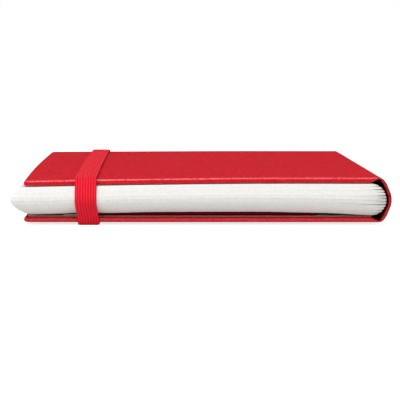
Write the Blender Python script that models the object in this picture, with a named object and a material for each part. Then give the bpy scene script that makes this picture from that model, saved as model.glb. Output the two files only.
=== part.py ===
"""Hardcover notebook with a sewn page block, an elastic closure band and an inner pocket.

The notebook lies on its back cover: +X points to the spine, -X to the fore-edge, -Y to the tail
and +Z to the front cover. The origin is under the middle of the whole object, on the table.
Distances called u below run from the covers' fore-edge towards the spine.
"""

import math

import bmesh
import bpy
import numpy as np
from mathutils import Matrix, Vector

# Case: two boards and a card liner in a leatherette skin
COVER_WIDTH = 0.127
COVER_LENGTH = 0.210
CORNER_RADIUS = 0.003
EDGE_ROUND = 0.0007
BOARD = 0.00095
SKIN = 0.0003
GLUE = 0.00015
TURN_IN = 0.011
TURN_IN_GAP = 0.0003
JOINT_WIDTH = 0.004
SPINE_BULGE = 0.003
SPINE_LINER = 0.00045
FOLD_GAP = 0.0003
ENDPAPER = 0.00012
ENDPAPER_MARGIN = 0.0015

# Page block: sewn signatures, cut convex on three sides and rounded at the spine
SIGNATURES = 11
LEAVES = 8
LEAF = 0.0000955
LEAF_GAP = 0.0002
PAGE_TIP = 0.0045
TOP_STEP = 0.0036
BOTTOM_STEP = 0.0056
TOP_CURVE = 1.65
BOTTOM_CURVE = 1.7
PAGE_CORNER = 0.003
SPINE_ROUND = 0.0053
SPINE_APEX = 0.00085
FOLD_ROUND = 0.0003
BLOCK_GAP_FRONT = 0.000286
BLOCK_GAP_BACK = 0.00025
GAUZE = 0.0002
GAUZE_GAP = 0.00015
GAUZE_MARGIN = 0.008
GAUZE_SHOULDER = 0.00043
GAUZE_SPLIT = 0.0005
THREAD_RADIUS = 0.0002
THREAD_GAP = 0.0003
THREAD_MARGIN = 0.006

# The stretched band pulls the corners of the fore-edge down
COVER_DROOP = 0.0012
BLOCK_SAG = 0.00025
FORE_DROP = 0.0006
FORE_RUN = 0.016
HEAD_DROOP = 0.35
DROOP_REACH = 0.090
DROOP_CURVE = 1.5

# Inner pocket on the back cover, open towards the spine
POCKET_PANEL = 0.00028
POCKET_MARGIN = 0.0022
POCKET_TO_SPINE = 0.024
POCKET_TO_EDGE = 0.021
POCKET_FLANGE = 0.007
POCKET_SLOPE = 0.003
POCKET_GAP = 0.00015
GUSSET_CLOTH = 0.00018
GUSSET_FOLD_GAP = 0.00005
GUSSET_WIDTH = 0.0035
POCKET_LIFT = 0.0003
LIFT_RUN = 0.005

# Elastic closure band
BAND_WIDTH = 0.0076
BAND_THICKNESS = 0.0008
BAND_EDGE = 0.0003
BAND_FROM_EDGE = 0.022
BAND_GAP = 0.0002
BAND_SKEW = 0.001
ANCHOR_REACH = 0.013
ANCHOR_GAP = 0.0003
SLOT_GAP = 0.0003

# Facets of round stretches
CORNER_STEPS = 3
ARC_STEPS = 12
PROFILE_STEPS = 8
BAND_ARC_STEP = math.radians(20)
THREAD_SIDES = 6
THREAD_RINGS = 24
SHARP_ANGLE = math.radians(35)
CUTTER_OVERSHOOT = 0.002

# Levels and places that follow from the sizes above
HALF_LENGTH = COVER_LENGTH / 2
COVER = 2 * SKIN + 2 * GLUE + BOARD
LINED_COVER = COVER + GLUE + ENDPAPER
SIGNATURE = LEAVES * LEAF
BLOCK_HEIGHT = 2 * ENDPAPER + SIGNATURES * SIGNATURE + (SIGNATURES + 1) * LEAF_GAP
CASE_HEIGHT = 2 * LINED_COVER + BLOCK_GAP_BACK + BLOCK_HEIGHT + BLOCK_GAP_FRONT
BACK_OUTER = BAND_THICKNESS + BAND_GAP
FRONT_OUTER = BACK_OUTER + CASE_HEIGHT
BACK_INNER = BACK_OUTER + LINED_COVER
BLOCK_BOTTOM = BACK_INNER + BLOCK_GAP_BACK
BLOCK_TOP = BLOCK_BOTTOM + BLOCK_HEIGHT
BLOCK_MIDDLE = (BLOCK_BOTTOM + BLOCK_TOP) / 2
CASE_MIDDLE = (BACK_OUTER + FRONT_OUTER) / 2
GUSSET_FOLD = 2 * GUSSET_CLOTH + GUSSET_FOLD_GAP
PANEL_UNDER = BACK_INNER + 2 * POCKET_GAP + GUSSET_FOLD
POCKET_TOP = PANEL_UNDER + POCKET_PANEL + POCKET_GAP + GUSSET_CLOTH
POCKET_RISE = POCKET_TOP + POCKET_LIFT - BLOCK_BOTTOM
POCKET_OPENING = COVER_WIDTH - POCKET_TO_SPINE
POCKET_FOLD = POCKET_TO_EDGE + POCKET_SLOPE
FORE_EDGE_X = -(COVER_WIDTH + SPINE_BULGE - PAGE_TIP) / 2
FOLD_X = FORE_EDGE_X + COVER_WIDTH
BOARD_END = COVER_WIDTH - JOINT_WIDTH
APEX = COVER_WIDTH + SPINE_APEX
CENTRE_FOLD = APEX + GAUZE_GAP + GAUZE + THREAD_GAP / 2
SPINE_WALL = SKIN + GLUE + SPINE_LINER
SPINE_RADIUS = ((CASE_HEIGHT / 2) ** 2 + SPINE_BULGE**2) / (2 * SPINE_BULGE)
SPINE_CENTRE_X = FOLD_X + SPINE_BULGE - SPINE_RADIUS
SPINE_HALF_ANGLE = math.asin(CASE_HEIGHT / 2 / SPINE_RADIUS)
ANCHOR_U = BAND_FROM_EDGE + BAND_SKEW
ANCHOR_X = FORE_EDGE_X + ANCHOR_U
SLOT_Y = HALF_LENGTH - ANCHOR_REACH

# Lines where sheets that settle are divided before they are bent
BEND_U = (
    POCKET_FOLD - FORE_RUN,
    POCKET_FOLD - FORE_RUN / 2,
    POCKET_FOLD,
    0.55 * DROOP_REACH,
    0.78 * DROOP_REACH,
    DROOP_REACH,
    POCKET_OPENING - LIFT_RUN,
    (2 * POCKET_OPENING + COVER_WIDTH) / 3,
    (POCKET_OPENING + 2 * COVER_WIDTH) / 3,
)
BEND_Y = (0.4 * HALF_LENGTH, 0.65 * HALF_LENGTH, 0.85 * HALF_LENGTH)

# Colours are linear
RED_LEATHERETTE = (0.62, 0.026, 0.042)
RED_ELASTIC = (0.75, 0.024, 0.045)
RED_CLOTH = (0.30, 0.008, 0.014)
WHITE_PAPER = (0.84, 0.83, 0.80)
CREAM_PAPER = (0.72, 0.63, 0.52)
GREY_BOARD = (0.36, 0.33, 0.29)
GAUZE_CLOTH = (0.70, 0.68, 0.62)
THREAD = (0.85, 0.84, 0.82)


def clear_scene():
    """Removes whatever the file holds."""
    for obj in list(bpy.data.objects):
        bpy.data.objects.remove(obj)


def paint(name, colour, roughness):
    """A plain dielectric finish."""
    made = bpy.data.materials.new(name)
    made.use_nodes = True
    shader = made.node_tree.nodes["Principled BSDF"]
    shader.inputs["Base Color"].default_value = (*colour, 1)
    shader.inputs["Roughness"].default_value = roughness
    shader.inputs["Metallic"].default_value = 0
    return made


def pivot(name, location, parent=None):
    """An empty on a joint's axis, which carries the pieces that turn about it."""
    empty = bpy.data.objects.new(name, None)
    bpy.context.scene.collection.objects.link(empty)
    empty.empty_display_size = CORNER_RADIUS
    empty.location = location
    if parent is not None:
        empty.parent = parent
        empty.location = Vector(location) - parent.matrix_world.translation
    bpy.context.view_layer.update()
    return empty


def add(name, shape, finish, carrier=None):
    """Makes a shape a named object, carried by a pivot if it moves."""
    bmesh.ops.recalc_face_normals(shape, faces=shape.faces)
    mesh = bpy.data.meshes.new(name)
    shape.to_mesh(mesh)
    shape.free()
    obj = bpy.data.objects.new(name, mesh)
    bpy.context.scene.collection.objects.link(obj)
    mesh.materials.append(finish)
    mesh.shade_smooth()
    mesh.set_sharp_from_angle(angle=SHARP_ANGLE)
    if carrier is not None:
        obj.parent = carrier
        obj.matrix_parent_inverse = Matrix.Translation(-carrier.matrix_world.translation)
    return obj


def loft(rings):
    """A closed solid through rings of equally many points, with a face over each end."""
    shape = bmesh.new()
    rows = [[shape.verts.new(point) for point in ring] for ring in rings]
    for low, high in zip(rows, rows[1:]):
        for i in range(len(low)):
            shape.faces.new((low[i - 1], low[i], high[i], high[i - 1]))
    shape.faces.new(rows[0])
    shape.faces.new(rows[-1])
    bmesh.ops.recalc_face_normals(shape, faces=shape.faces)
    return shape


def cut(shape, cutters):
    """The shape less its cutters."""
    target = add("blank", shape, None)
    tools = []
    for cutter in cutters:
        tool = add("cutter", cutter, None)
        tool.hide_render = True
        tool.display_type = "WIRE"
        boolean = target.modifiers.new("cut", "BOOLEAN")
        boolean.operation = "DIFFERENCE"
        boolean.solver = "EXACT"
        boolean.object = tool
        tools.append(tool)
    bpy.context.view_layer.update()
    graph = bpy.context.evaluated_depsgraph_get()
    result = bmesh.new()
    result.from_mesh(target.evaluated_get(graph).data)
    for obj in (target, *tools):
        mesh = obj.data
        bpy.data.objects.remove(obj)
        bpy.data.meshes.remove(mesh)
    return result


def box(u, y, z):
    """A block between two values each of u, y and z."""
    (u0, u1), (y0, y1), (z0, z1) = u, y, z
    x0, x1 = FORE_EDGE_X + u0, FORE_EDGE_X + u1
    corners = ((x0, y0), (x1, y0), (x1, y1), (x0, y1))
    return loft([[(x, y, level) for x, y in corners] for level in (z0, z1)])


def plan(u0, u1, half_y, radius):
    """A sheet's outline from above, with round corners at the fore-edge."""
    points = [(FORE_EDGE_X + u1, -half_y), (FORE_EDGE_X + u1, half_y)]
    for side, start in ((1, math.pi / 2), (-1, math.pi)):
        for i in range(CORNER_STEPS + 1):
            angle = start + i * math.pi / 2 / CORNER_STEPS
            x = FORE_EDGE_X + u0 + radius + radius * math.cos(angle)
            y = side * (half_y - radius) + radius * math.sin(angle)
            points.append((x, y))
    return points


def sheet(u0, u1, half_y, radius, z0, z1):
    """A flat sheet between two heights."""
    outline = plan(u0, u1, half_y, radius)
    return loft([[(x, y, z) for x, y in outline] for z in (z0, z1)])


def smooth(t):
    """A soft step from 0 to 1."""
    t = min(max(t, 0), 1)
    return t * t * (3 - 2 * t)


def droop(x, y):
    """How far a point is drawn down, from 0 inside the sheet to 1 at the tail's fore-edge corner."""
    reach = max(1 - (x - FORE_EDGE_X) / DROOP_REACH, 0)
    side = 1 if y < 0 else HEAD_DROOP
    return side * reach**DROOP_CURVE * (y / HALF_LENGTH) ** 2


def block_bottom(x, y):
    """The underside of the page block, lifted by the pocket, lower beyond it and at the corners."""
    u = x - FORE_EDGE_X
    lift_start = POCKET_OPENING - LIFT_RUN
    rise = POCKET_RISE * smooth((COVER_WIDTH - u) / (COVER_WIDTH - lift_start))
    drop = FORE_DROP * smooth((POCKET_FOLD - u) / FORE_RUN)
    return BLOCK_BOTTOM + rise - drop - BLOCK_SAG * droop(x, y)


def block_top(x, y):
    """The upper side of the page block, which follows the front cover."""
    return BLOCK_TOP - COVER_DROOP * droop(x, y)


def block_level(x, y, flat_z):
    """Where a height in the flat block comes to lie in the settled one."""
    share = (flat_z - BLOCK_BOTTOM) / BLOCK_HEIGHT
    low = block_bottom(x, y)
    return low + share * (block_top(x, y) - low)


def cover_level(x, y, flat_z):
    """Where a height in the flat front cover comes to lie in the settled one."""
    return flat_z - COVER_DROOP * droop(x, y)


def settle(shape, level):
    """Divides a flat shape along the bending lines and bends it to its settled level."""
    lines = [((FORE_EDGE_X + u, 0, 0), (1, 0, 0)) for u in BEND_U]
    lines += [((0, side * y, 0), (0, 1, 0)) for y in BEND_Y for side in (-1, 1)]
    for point, normal in lines:
        everything = shape.verts[:] + shape.edges[:] + shape.faces[:]
        bmesh.ops.bisect_plane(shape, geom=everything, plane_co=point, plane_no=normal)
    bmesh.ops.triangulate(shape, faces=shape.faces)
    for vertex in shape.verts:
        vertex.co.z = level(*vertex.co)
    return shape


def overhang(flat_z):
    """How far the pages stand proud of the covers at a height in the flat block."""
    t = 2 * (flat_z - BLOCK_BOTTOM) / BLOCK_HEIGHT - 1
    if t > 0:
        return PAGE_TIP - TOP_STEP * t**TOP_CURVE
    return PAGE_TIP - BOTTOM_STEP * (-t) ** BOTTOM_CURVE


def block_spine(flat_z):
    """How far from the fore-edge the rounded back of the block lies at a height."""
    t = min(abs(2 * (flat_z - BLOCK_BOTTOM) / BLOCK_HEIGHT - 1), 1)
    return APEX - SPINE_ROUND * (1 - (1 - t**1.7) ** 0.7)


def leaves(z0, z1, fold_round):
    """One sewn layer of the block: convex edges, and a fold that is round in section."""
    rings = []
    for z, back in ((z0, fold_round), ((z0 + z1) / 2, 0), (z1, fold_round)):
        proud = overhang(z)
        outline = plan(-proud, block_spine(z) - back, HALF_LENGTH + proud, PAGE_CORNER)
        rings.append([(x, y, z) for x, y in outline])
    return settle(loft(rings), block_level)


def cover_skin(outer, inwards):
    """Leatherette over one cover: outer panel, round edges, turn-ins and the flexible joint."""
    rings = []
    for depth, inset in (
        (0, EDGE_ROUND),
        (0.3 * EDGE_ROUND, 0.3 * EDGE_ROUND),
        (EDGE_ROUND, 0),
        (COVER - EDGE_ROUND, 0),
        (COVER, EDGE_ROUND / 2),
    ):
        outline = plan(inset, COVER_WIDTH, HALF_LENGTH - inset, CORNER_RADIUS - inset)
        rings.append([(x, y, outer + inwards * depth) for x, y in outline])
    past = COVER_WIDTH + CUTTER_OVERSHOOT
    board_space = sheet(
        SKIN,
        past,
        HALF_LENGTH - SKIN,
        CORNER_RADIUS - SKIN,
        outer + inwards * SKIN,
        outer + inwards * (COVER - SKIN),
    )
    window = sheet(
        TURN_IN,
        past,
        HALF_LENGTH - TURN_IN,
        CORNER_RADIUS,
        outer + inwards * (COVER - 1.5 * SKIN),
        outer + inwards * (COVER + CUTTER_OVERSHOOT),
    )
    return cut(loft(rings), [board_space, window, joint_taper(outer, inwards)])


def joint_taper(outer, inwards):
    """What is cut off the skin between the board and the fold, so that the cover can swing."""
    wide = HALF_LENGTH + CUTTER_OVERSHOOT
    section = (
        (COVER_WIDTH - FOLD_GAP + CUTTER_OVERSHOOT, -CUTTER_OVERSHOOT),
        (COVER_WIDTH - FOLD_GAP, 0),
        (COVER_WIDTH - FOLD_GAP - SKIN, SKIN),
        (BOARD_END, COVER + SKIN),
        (COVER_WIDTH + CUTTER_OVERSHOOT, COVER + SKIN),
        (COVER_WIDTH + CUTTER_OVERSHOOT, -CUTTER_OVERSHOOT),
    )
    return loft([[(FORE_EDGE_X + u, y, outer + inwards * d) for u, d in section] for y in (-wide, wide)])


def cover_board(outer, inwards):
    """The stiff board inside a cover, with the infill that is level with the turn-ins."""
    margin = SKIN + GLUE
    infill = TURN_IN + TURN_IN_GAP
    rings = []
    for depth, inset, end in (
        (margin, margin, BOARD_END),
        (margin + BOARD, margin, BOARD_END),
        (margin + BOARD, infill, BOARD_END - TURN_IN_GAP),
        (COVER, infill, BOARD_END - TURN_IN_GAP),
    ):
        outline = plan(inset, end, HALF_LENGTH - inset, CORNER_RADIUS - margin)
        rings.append([(x, y, outer + inwards * depth) for x, y in outline])
    return loft(rings)


def pastedown(outer, inwards):
    """The endpaper glued over the inside of a cover and its turn-ins."""
    inset = ENDPAPER_MARGIN
    z0 = outer + inwards * (LINED_COVER - ENDPAPER)
    return sheet(inset, BOARD_END, HALF_LENGTH - inset, CORNER_RADIUS - inset, z0, z0 + inwards * ENDPAPER)


def slots():
    """Cutters for the two slots that the elastic passes through."""
    half = BAND_WIDTH / 2 + SLOT_GAP
    u = (ANCHOR_U - half, ANCHOR_U + half)
    z = (BACK_OUTER - CUTTER_OVERSHOOT, BACK_OUTER + COVER + CUTTER_OVERSHOOT)
    near, far = SLOT_Y - BAND_THICKNESS - SLOT_GAP, SLOT_Y + SLOT_GAP
    return [box(u, y, z) for y in ((-far, -near), (near, far))]


def spine_arc(radii_and_ys, trim):
    """A section in radius and y carried round the bow of the spine, short of the folds by trim."""
    limit = SPINE_HALF_ANGLE - trim / SPINE_RADIUS
    rings = []
    for angle in np.linspace(-limit, limit, ARC_STEPS + 1):
        rings.append([
            (SPINE_CENTRE_X + r * math.cos(angle), y, CASE_MIDDLE + r * math.sin(angle))
            for r, y in radii_and_ys
        ])
    return loft(rings)


def spine_skin():
    """Leatherette over the spine, turned round the liner at tail and head."""
    outer, inner, lip = SPINE_RADIUS, SPINE_RADIUS - SKIN, SPINE_RADIUS - SPINE_WALL
    end, inside = HALF_LENGTH, HALF_LENGTH - SKIN
    section = (
        (outer, -end),
        (outer, end),
        (lip, end),
        (lip, inside),
        (inner, inside),
        (inner, -inside),
        (lip, -inside),
        (lip, -end),
    )
    return spine_arc(section, FOLD_GAP / 2)


def spine_liner():
    """The card that stiffens the spine."""
    outer, inner = SPINE_RADIUS - SKIN - GLUE, SPINE_RADIUS - SPINE_WALL
    end = HALF_LENGTH - SKIN - GLUE
    return spine_arc(((outer, -end), (outer, end), (inner, end), (inner, -end)), FOLD_GAP)


def gauze(side):
    """Half of the cloth glued over the back of the block, front for side 1 and back for -1."""
    heights = side * np.linspace(GAUZE_SPLIT, BLOCK_HEIGHT / 2 - GAUZE_SHOULDER, PROFILE_STEPS)
    step = BLOCK_HEIGHT / 1000
    inner, outer = [], []
    for height in heights:
        z = BLOCK_MIDDLE + height
        slope = (block_spine(z + step) - block_spine(z - step)) / (2 * step)
        normal = Vector((1, -slope)).normalized()
        for line, offset in ((inner, GAUZE_GAP), (outer, GAUZE_GAP + GAUZE)):
            line.append((FORE_EDGE_X + block_spine(z) + offset * normal[0], z + offset * normal[1]))
    section = inner + outer[::-1]
    half = HALF_LENGTH - GAUZE_MARGIN
    return loft([[(x, y, z) for x, z in section] for y in (-half, half)])


def sewing_thread():
    """The thread along the centre fold, drawn in and out of it."""
    half = HALF_LENGTH - THREAD_MARGIN
    rings = []
    for i, y in enumerate(np.linspace(-half, half, THREAD_RINGS)):
        sway = THREAD_RADIUS / 4 * (-1) ** i
        rings.append([
            (
                FORE_EDGE_X + CENTRE_FOLD + sway + THREAD_RADIUS * math.cos(angle),
                y,
                BLOCK_MIDDLE + THREAD_RADIUS * math.sin(angle),
            )
            for angle in np.linspace(0, 2 * math.pi, THREAD_SIDES, endpoint=False)
        ])
    return loft(rings)


def pocket_panel():
    """The pocket's card front, stepped down to a strip glued along its closed side."""
    low, high = BACK_INNER + POCKET_GAP, PANEL_UNDER
    line = (
        (POCKET_TO_EDGE - POCKET_FLANGE, low),
        (POCKET_TO_EDGE, low),
        (POCKET_FOLD, high),
        (POCKET_OPENING, high),
    )
    section = line + tuple((u, z + POCKET_PANEL) for u, z in reversed(line))
    half = HALF_LENGTH - POCKET_MARGIN - GUSSET_CLOTH - POCKET_GAP
    return loft([[(FORE_EDGE_X + u, y, z) for u, z in section] for y in (-half, half)])


def pocket_gusset(side):
    """A cloth side of the pocket, folded once and turned round the panel's edge; -1 is the tail."""
    low = BACK_INNER + POCKET_GAP
    high = low + GUSSET_FOLD
    edge = HALF_LENGTH - POCKET_MARGIN
    fold = edge - GUSSET_WIDTH
    section = (
        (edge, low),
        (fold, low),
        (fold, high),
        (edge - GUSSET_CLOTH, high),
        (edge - GUSSET_CLOTH, POCKET_TOP - GUSSET_CLOTH),
        (fold, POCKET_TOP - GUSSET_CLOTH),
        (fold, POCKET_TOP),
        (edge, POCKET_TOP),
        (edge, high - GUSSET_CLOTH),
        (fold + GUSSET_CLOTH, high - GUSSET_CLOTH),
        (fold + GUSSET_CLOTH, low + GUSSET_CLOTH),
        (edge, low + GUSSET_CLOTH),
    )
    start = POCKET_FOLD + POCKET_PANEL
    ends = (start, POCKET_OPENING)
    return loft([[(FORE_EDGE_X + u, side * y, z) for y, z in section] for u in ends])


def turn(origin, a, b):
    """Twice the signed area of a triangle: positive where a, b turn left about the origin."""
    return (a[0] - origin[0]) * (b[1] - origin[1]) - (a[1] - origin[1]) * (b[0] - origin[0])


def stretched_round(points):
    """The convex outline that a stretched band takes round points, anticlockwise."""
    chains = []
    for run in (sorted(points), sorted(points, reverse=True)):
        chain = []
        for point in run:
            while len(chain) > 1 and turn(chain[-2], chain[-1], point) <= 0:
                chain.pop()
            chain.append(point)
        chains.append(chain[:-1])
    return chains[0] + chains[1]


def band_path():
    """Points and outward directions of the band's middle, from the tail's lower edge to the head's."""
    x = FORE_EDGE_X + BAND_FROM_EDGE + BAND_WIDTH / 2
    ends = []
    for side in (-1, 1):
        ends.append((side * HALF_LENGTH, BACK_OUTER))
        for share in np.linspace(0, 1, PROFILE_STEPS + 1):
            flat_z = BLOCK_BOTTOM + share * BLOCK_HEIGHT
            ends.append((side * (HALF_LENGTH + overhang(flat_z)), block_level(x, side * HALF_LENGTH, flat_z)))
    top = [(y, cover_level(x, y, FRONT_OUTER)) for y in np.linspace(-HALF_LENGTH, HALF_LENGTH, PROFILE_STEPS + 1)]
    outline = stretched_round(ends + top)
    start = outline.index((HALF_LENGTH, BACK_OUTER))
    outline = outline[start:] + outline[:start]
    reach = BAND_GAP + BAND_THICKNESS / 2
    path = []
    for i, (y, z) in enumerate(outline):
        before = math.atan2(z - outline[i - 1][1], y - outline[i - 1][0]) - math.pi / 2
        following = outline[(i + 1) % len(outline)]
        after = math.atan2(following[1] - z, following[0] - y) - math.pi / 2
        bend = (after - before) % (2 * math.pi)
        steps = max(1, math.ceil(bend / BAND_ARC_STEP))
        for angle in before + bend * np.linspace(0, 1, steps + 1):
            direction = (math.cos(angle), math.sin(angle))
            path.append((y + reach * direction[0], z + reach * direction[1], direction))
    return path


def elastic_band():
    """The band over the front cover and down both ends, leaning slightly to its anchors."""
    half, thin = BAND_WIDTH / 2, BAND_THICKNESS / 2
    section = (
        (-half, 0),
        (BAND_EDGE - half, -thin),
        (half - BAND_EDGE, -thin),
        (half, 0),
        (half - BAND_EDGE, thin),
        (BAND_EDGE - half, thin),
    )
    rings = []
    for y, z, (across, up) in band_path():
        lean = BAND_SKEW * smooth((BLOCK_MIDDLE - z) / (BLOCK_MIDDLE - BACK_OUTER))
        middle = FORE_EDGE_X + BAND_FROM_EDGE + lean
        rings.append([(middle + w, y + d * across, z + d * up) for w, d in section])
    return loft(rings)


def elastic_anchor(side):
    """One end of the band: along the back cover and up through its slot."""
    edge = HALF_LENGTH - ANCHOR_GAP
    top = BACK_OUTER + SKIN + GLUE + BOARD
    section = (
        (edge, 0),
        (SLOT_Y - BAND_THICKNESS, 0),
        (SLOT_Y - BAND_THICKNESS, top),
        (SLOT_Y, top),
        (SLOT_Y, BAND_THICKNESS),
        (edge, BAND_THICKNESS),
    )
    ends = (ANCHOR_X - BAND_WIDTH / 2, ANCHOR_X + BAND_WIDTH / 2)
    return loft([[(x, side * y, z) for y, z in section] for x in ends])


def block_layers():
    """Names and flat heights of the block's layers, from the back flyleaf up."""
    middle = SIGNATURES // 2
    half = (SIGNATURE - LEAF_GAP) / 2
    stack = [("back_flyleaf", ENDPAPER)]
    for place in range(SIGNATURES):
        name = f"signature_{SIGNATURES - place:02d}"
        if place == middle:
            stack += [(name + "_lower", half), (name + "_upper", half)]
        else:
            stack.append((name, SIGNATURE))
    stack.append(("front_flyleaf", ENDPAPER))
    layers, z = [], BLOCK_BOTTOM
    for name, thickness in stack:
        layers.append((name, z, z + thickness))
        z += thickness + LEAF_GAP
    return layers


def main():
    """Builds every piece in place."""
    clear_scene()
    leatherette = paint("red_leatherette", RED_LEATHERETTE, 0.42)
    elastic = paint("red_elastic", RED_ELASTIC, 0.85)
    cloth = paint("red_cloth", RED_CLOTH, 0.9)
    paper = paint("white_paper", WHITE_PAPER, 0.9)
    cream = paint("cream_paper", CREAM_PAPER, 0.9)
    board = paint("grey_board", GREY_BOARD, 0.95)
    mull = paint("gauze_cloth", GAUZE_CLOTH, 0.95)
    thread = paint("thread", THREAD, 0.8)

    centre_fold = pivot("centre_fold_axis", (FORE_EDGE_X + CENTRE_FOLD, 0, BLOCK_MIDDLE))
    back_fold = pivot("back_fold_axis", (FOLD_X, 0, BACK_OUTER))
    front_fold = pivot("front_fold_axis", (FOLD_X, 0, FRONT_OUTER), back_fold)
    band_axis = pivot("band_axis", (FORE_EDGE_X + BAND_FROM_EDGE, 0, BACK_OUTER))

    add("back_skin", cut(cover_skin(BACK_OUTER, 1), slots()), leatherette)
    add("back_board", cut(cover_board(BACK_OUTER, 1), slots()), board)
    add("back_pastedown", pastedown(BACK_OUTER, 1), cream)
    add("front_skin", settle(cover_skin(FRONT_OUTER, -1), cover_level), leatherette, front_fold)
    add("front_board", settle(cover_board(FRONT_OUTER, -1), cover_level), board, front_fold)
    add("front_pastedown", settle(pastedown(FRONT_OUTER, -1), cover_level), cream, front_fold)
    add("spine_skin", spine_skin(), leatherette, back_fold)
    add("spine_liner", spine_liner(), board, back_fold)

    for name, low, high in block_layers():
        carrier = centre_fold if low > BLOCK_MIDDLE else None
        finish = cream if "flyleaf" in name else paper
        fold_round = 0 if "flyleaf" in name else FOLD_ROUND
        add(name, leaves(low, high, fold_round), finish, carrier)
    add("spine_gauze_front", gauze(1), mull, centre_fold)
    add("spine_gauze_back", gauze(-1), mull)
    add("sewing_thread", sewing_thread(), thread)

    add("pocket_panel", pocket_panel(), cream)
    for side, end in ((-1, "tail"), (1, "head")):
        add("pocket_gusset_" + end, pocket_gusset(side), cloth)
        add("elastic_anchor_" + end, elastic_anchor(side), elastic)
    add("elastic_band", elastic_band(), elastic, band_axis)


main()
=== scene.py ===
"""Looks of a case-bound notebook: leatherette case, convex page block, pocket and elastic band.

Lengths are in metres. X runs from the fore-edge to the spine, Y from the tail to the head, and Z from the
back cover to the front cover. A distance u is measured from the covers' fore-edge towards the spine.
"""

import logging
import math
from dataclasses import dataclass
from enum import Enum
from typing import Any, Sequence

import bmesh
import bpy
import numpy as np
from mathutils import Matrix


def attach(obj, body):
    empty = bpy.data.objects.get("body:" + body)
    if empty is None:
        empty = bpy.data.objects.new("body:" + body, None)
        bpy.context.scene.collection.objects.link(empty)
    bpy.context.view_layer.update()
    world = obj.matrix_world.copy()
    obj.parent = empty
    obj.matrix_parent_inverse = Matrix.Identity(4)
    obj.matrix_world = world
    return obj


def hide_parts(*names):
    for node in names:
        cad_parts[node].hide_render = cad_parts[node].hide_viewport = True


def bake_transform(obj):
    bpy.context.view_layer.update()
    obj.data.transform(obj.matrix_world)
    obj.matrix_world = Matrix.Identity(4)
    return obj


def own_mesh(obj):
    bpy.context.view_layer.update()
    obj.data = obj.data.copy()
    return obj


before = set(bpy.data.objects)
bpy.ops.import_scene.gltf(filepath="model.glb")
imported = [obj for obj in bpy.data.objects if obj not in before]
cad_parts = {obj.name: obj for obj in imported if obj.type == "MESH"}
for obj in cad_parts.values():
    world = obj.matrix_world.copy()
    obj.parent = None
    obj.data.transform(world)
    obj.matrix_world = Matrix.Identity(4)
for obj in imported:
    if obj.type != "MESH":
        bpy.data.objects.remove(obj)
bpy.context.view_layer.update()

LOG = logging.getLogger("notebook")
IMAGE_SIDE = 400
ARC_POINTS = 9

Array = np.ndarray
Colour = tuple[float, float, float]
Place = tuple[float, float, float]
Span = tuple[float, float]
UNIT: Span = (0.0, 1.0)


class Side(Enum):
    """The two covers of the case."""

    FRONT = 1
    BACK = -1


class Half(Enum):
    """The two halves that the page block opens into."""

    LOWER = "lower"
    UPPER = "upper"

    @property
    def body(self) -> str:
        """The body that the half moves with."""
        return "back_cover" if self is Half.LOWER else "front_pages"


class End(Enum):
    """The two short ends of the notebook."""

    TAIL = -1
    HEAD = 1


def soft_step(t: Array) -> Array:
    """A step from 0 to 1 with level ends: 3t² - 2t³ between them."""
    t = np.clip(t, 0, 1)
    return t * t * (3 - 2 * t)


def joined(x: Array, y: Array, z: Array) -> Array:
    """Positions from three coordinates whose shapes fit together."""
    return np.stack(np.broadcast_arrays(x, y, z), axis=-1)


def along_border(values: Array, count: int) -> Array:
    """Leads values round a piece: from the spine along the tail, over the fore-edge and back along the head.

    Args:
        values: A row for each ring, from the fore-edge to the spine.
        count: How many points the fore-edge has.

    Returns:
        A longer row for each ring.
    """
    fore_edge = np.repeat(values[:, :1], count - 1, axis=1)
    return np.concatenate((values[:, ::-1], fore_edge, values[:, 1:]), axis=1)


def border_shares(columns: int, rows: Array) -> Array:
    """Shares of the half-width on that way: -1 along the tail, the fore-edge's rows, 1 along the head."""
    return np.concatenate((np.full(columns, -1.0), rows[1:], np.ones(columns - 1)))


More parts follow.
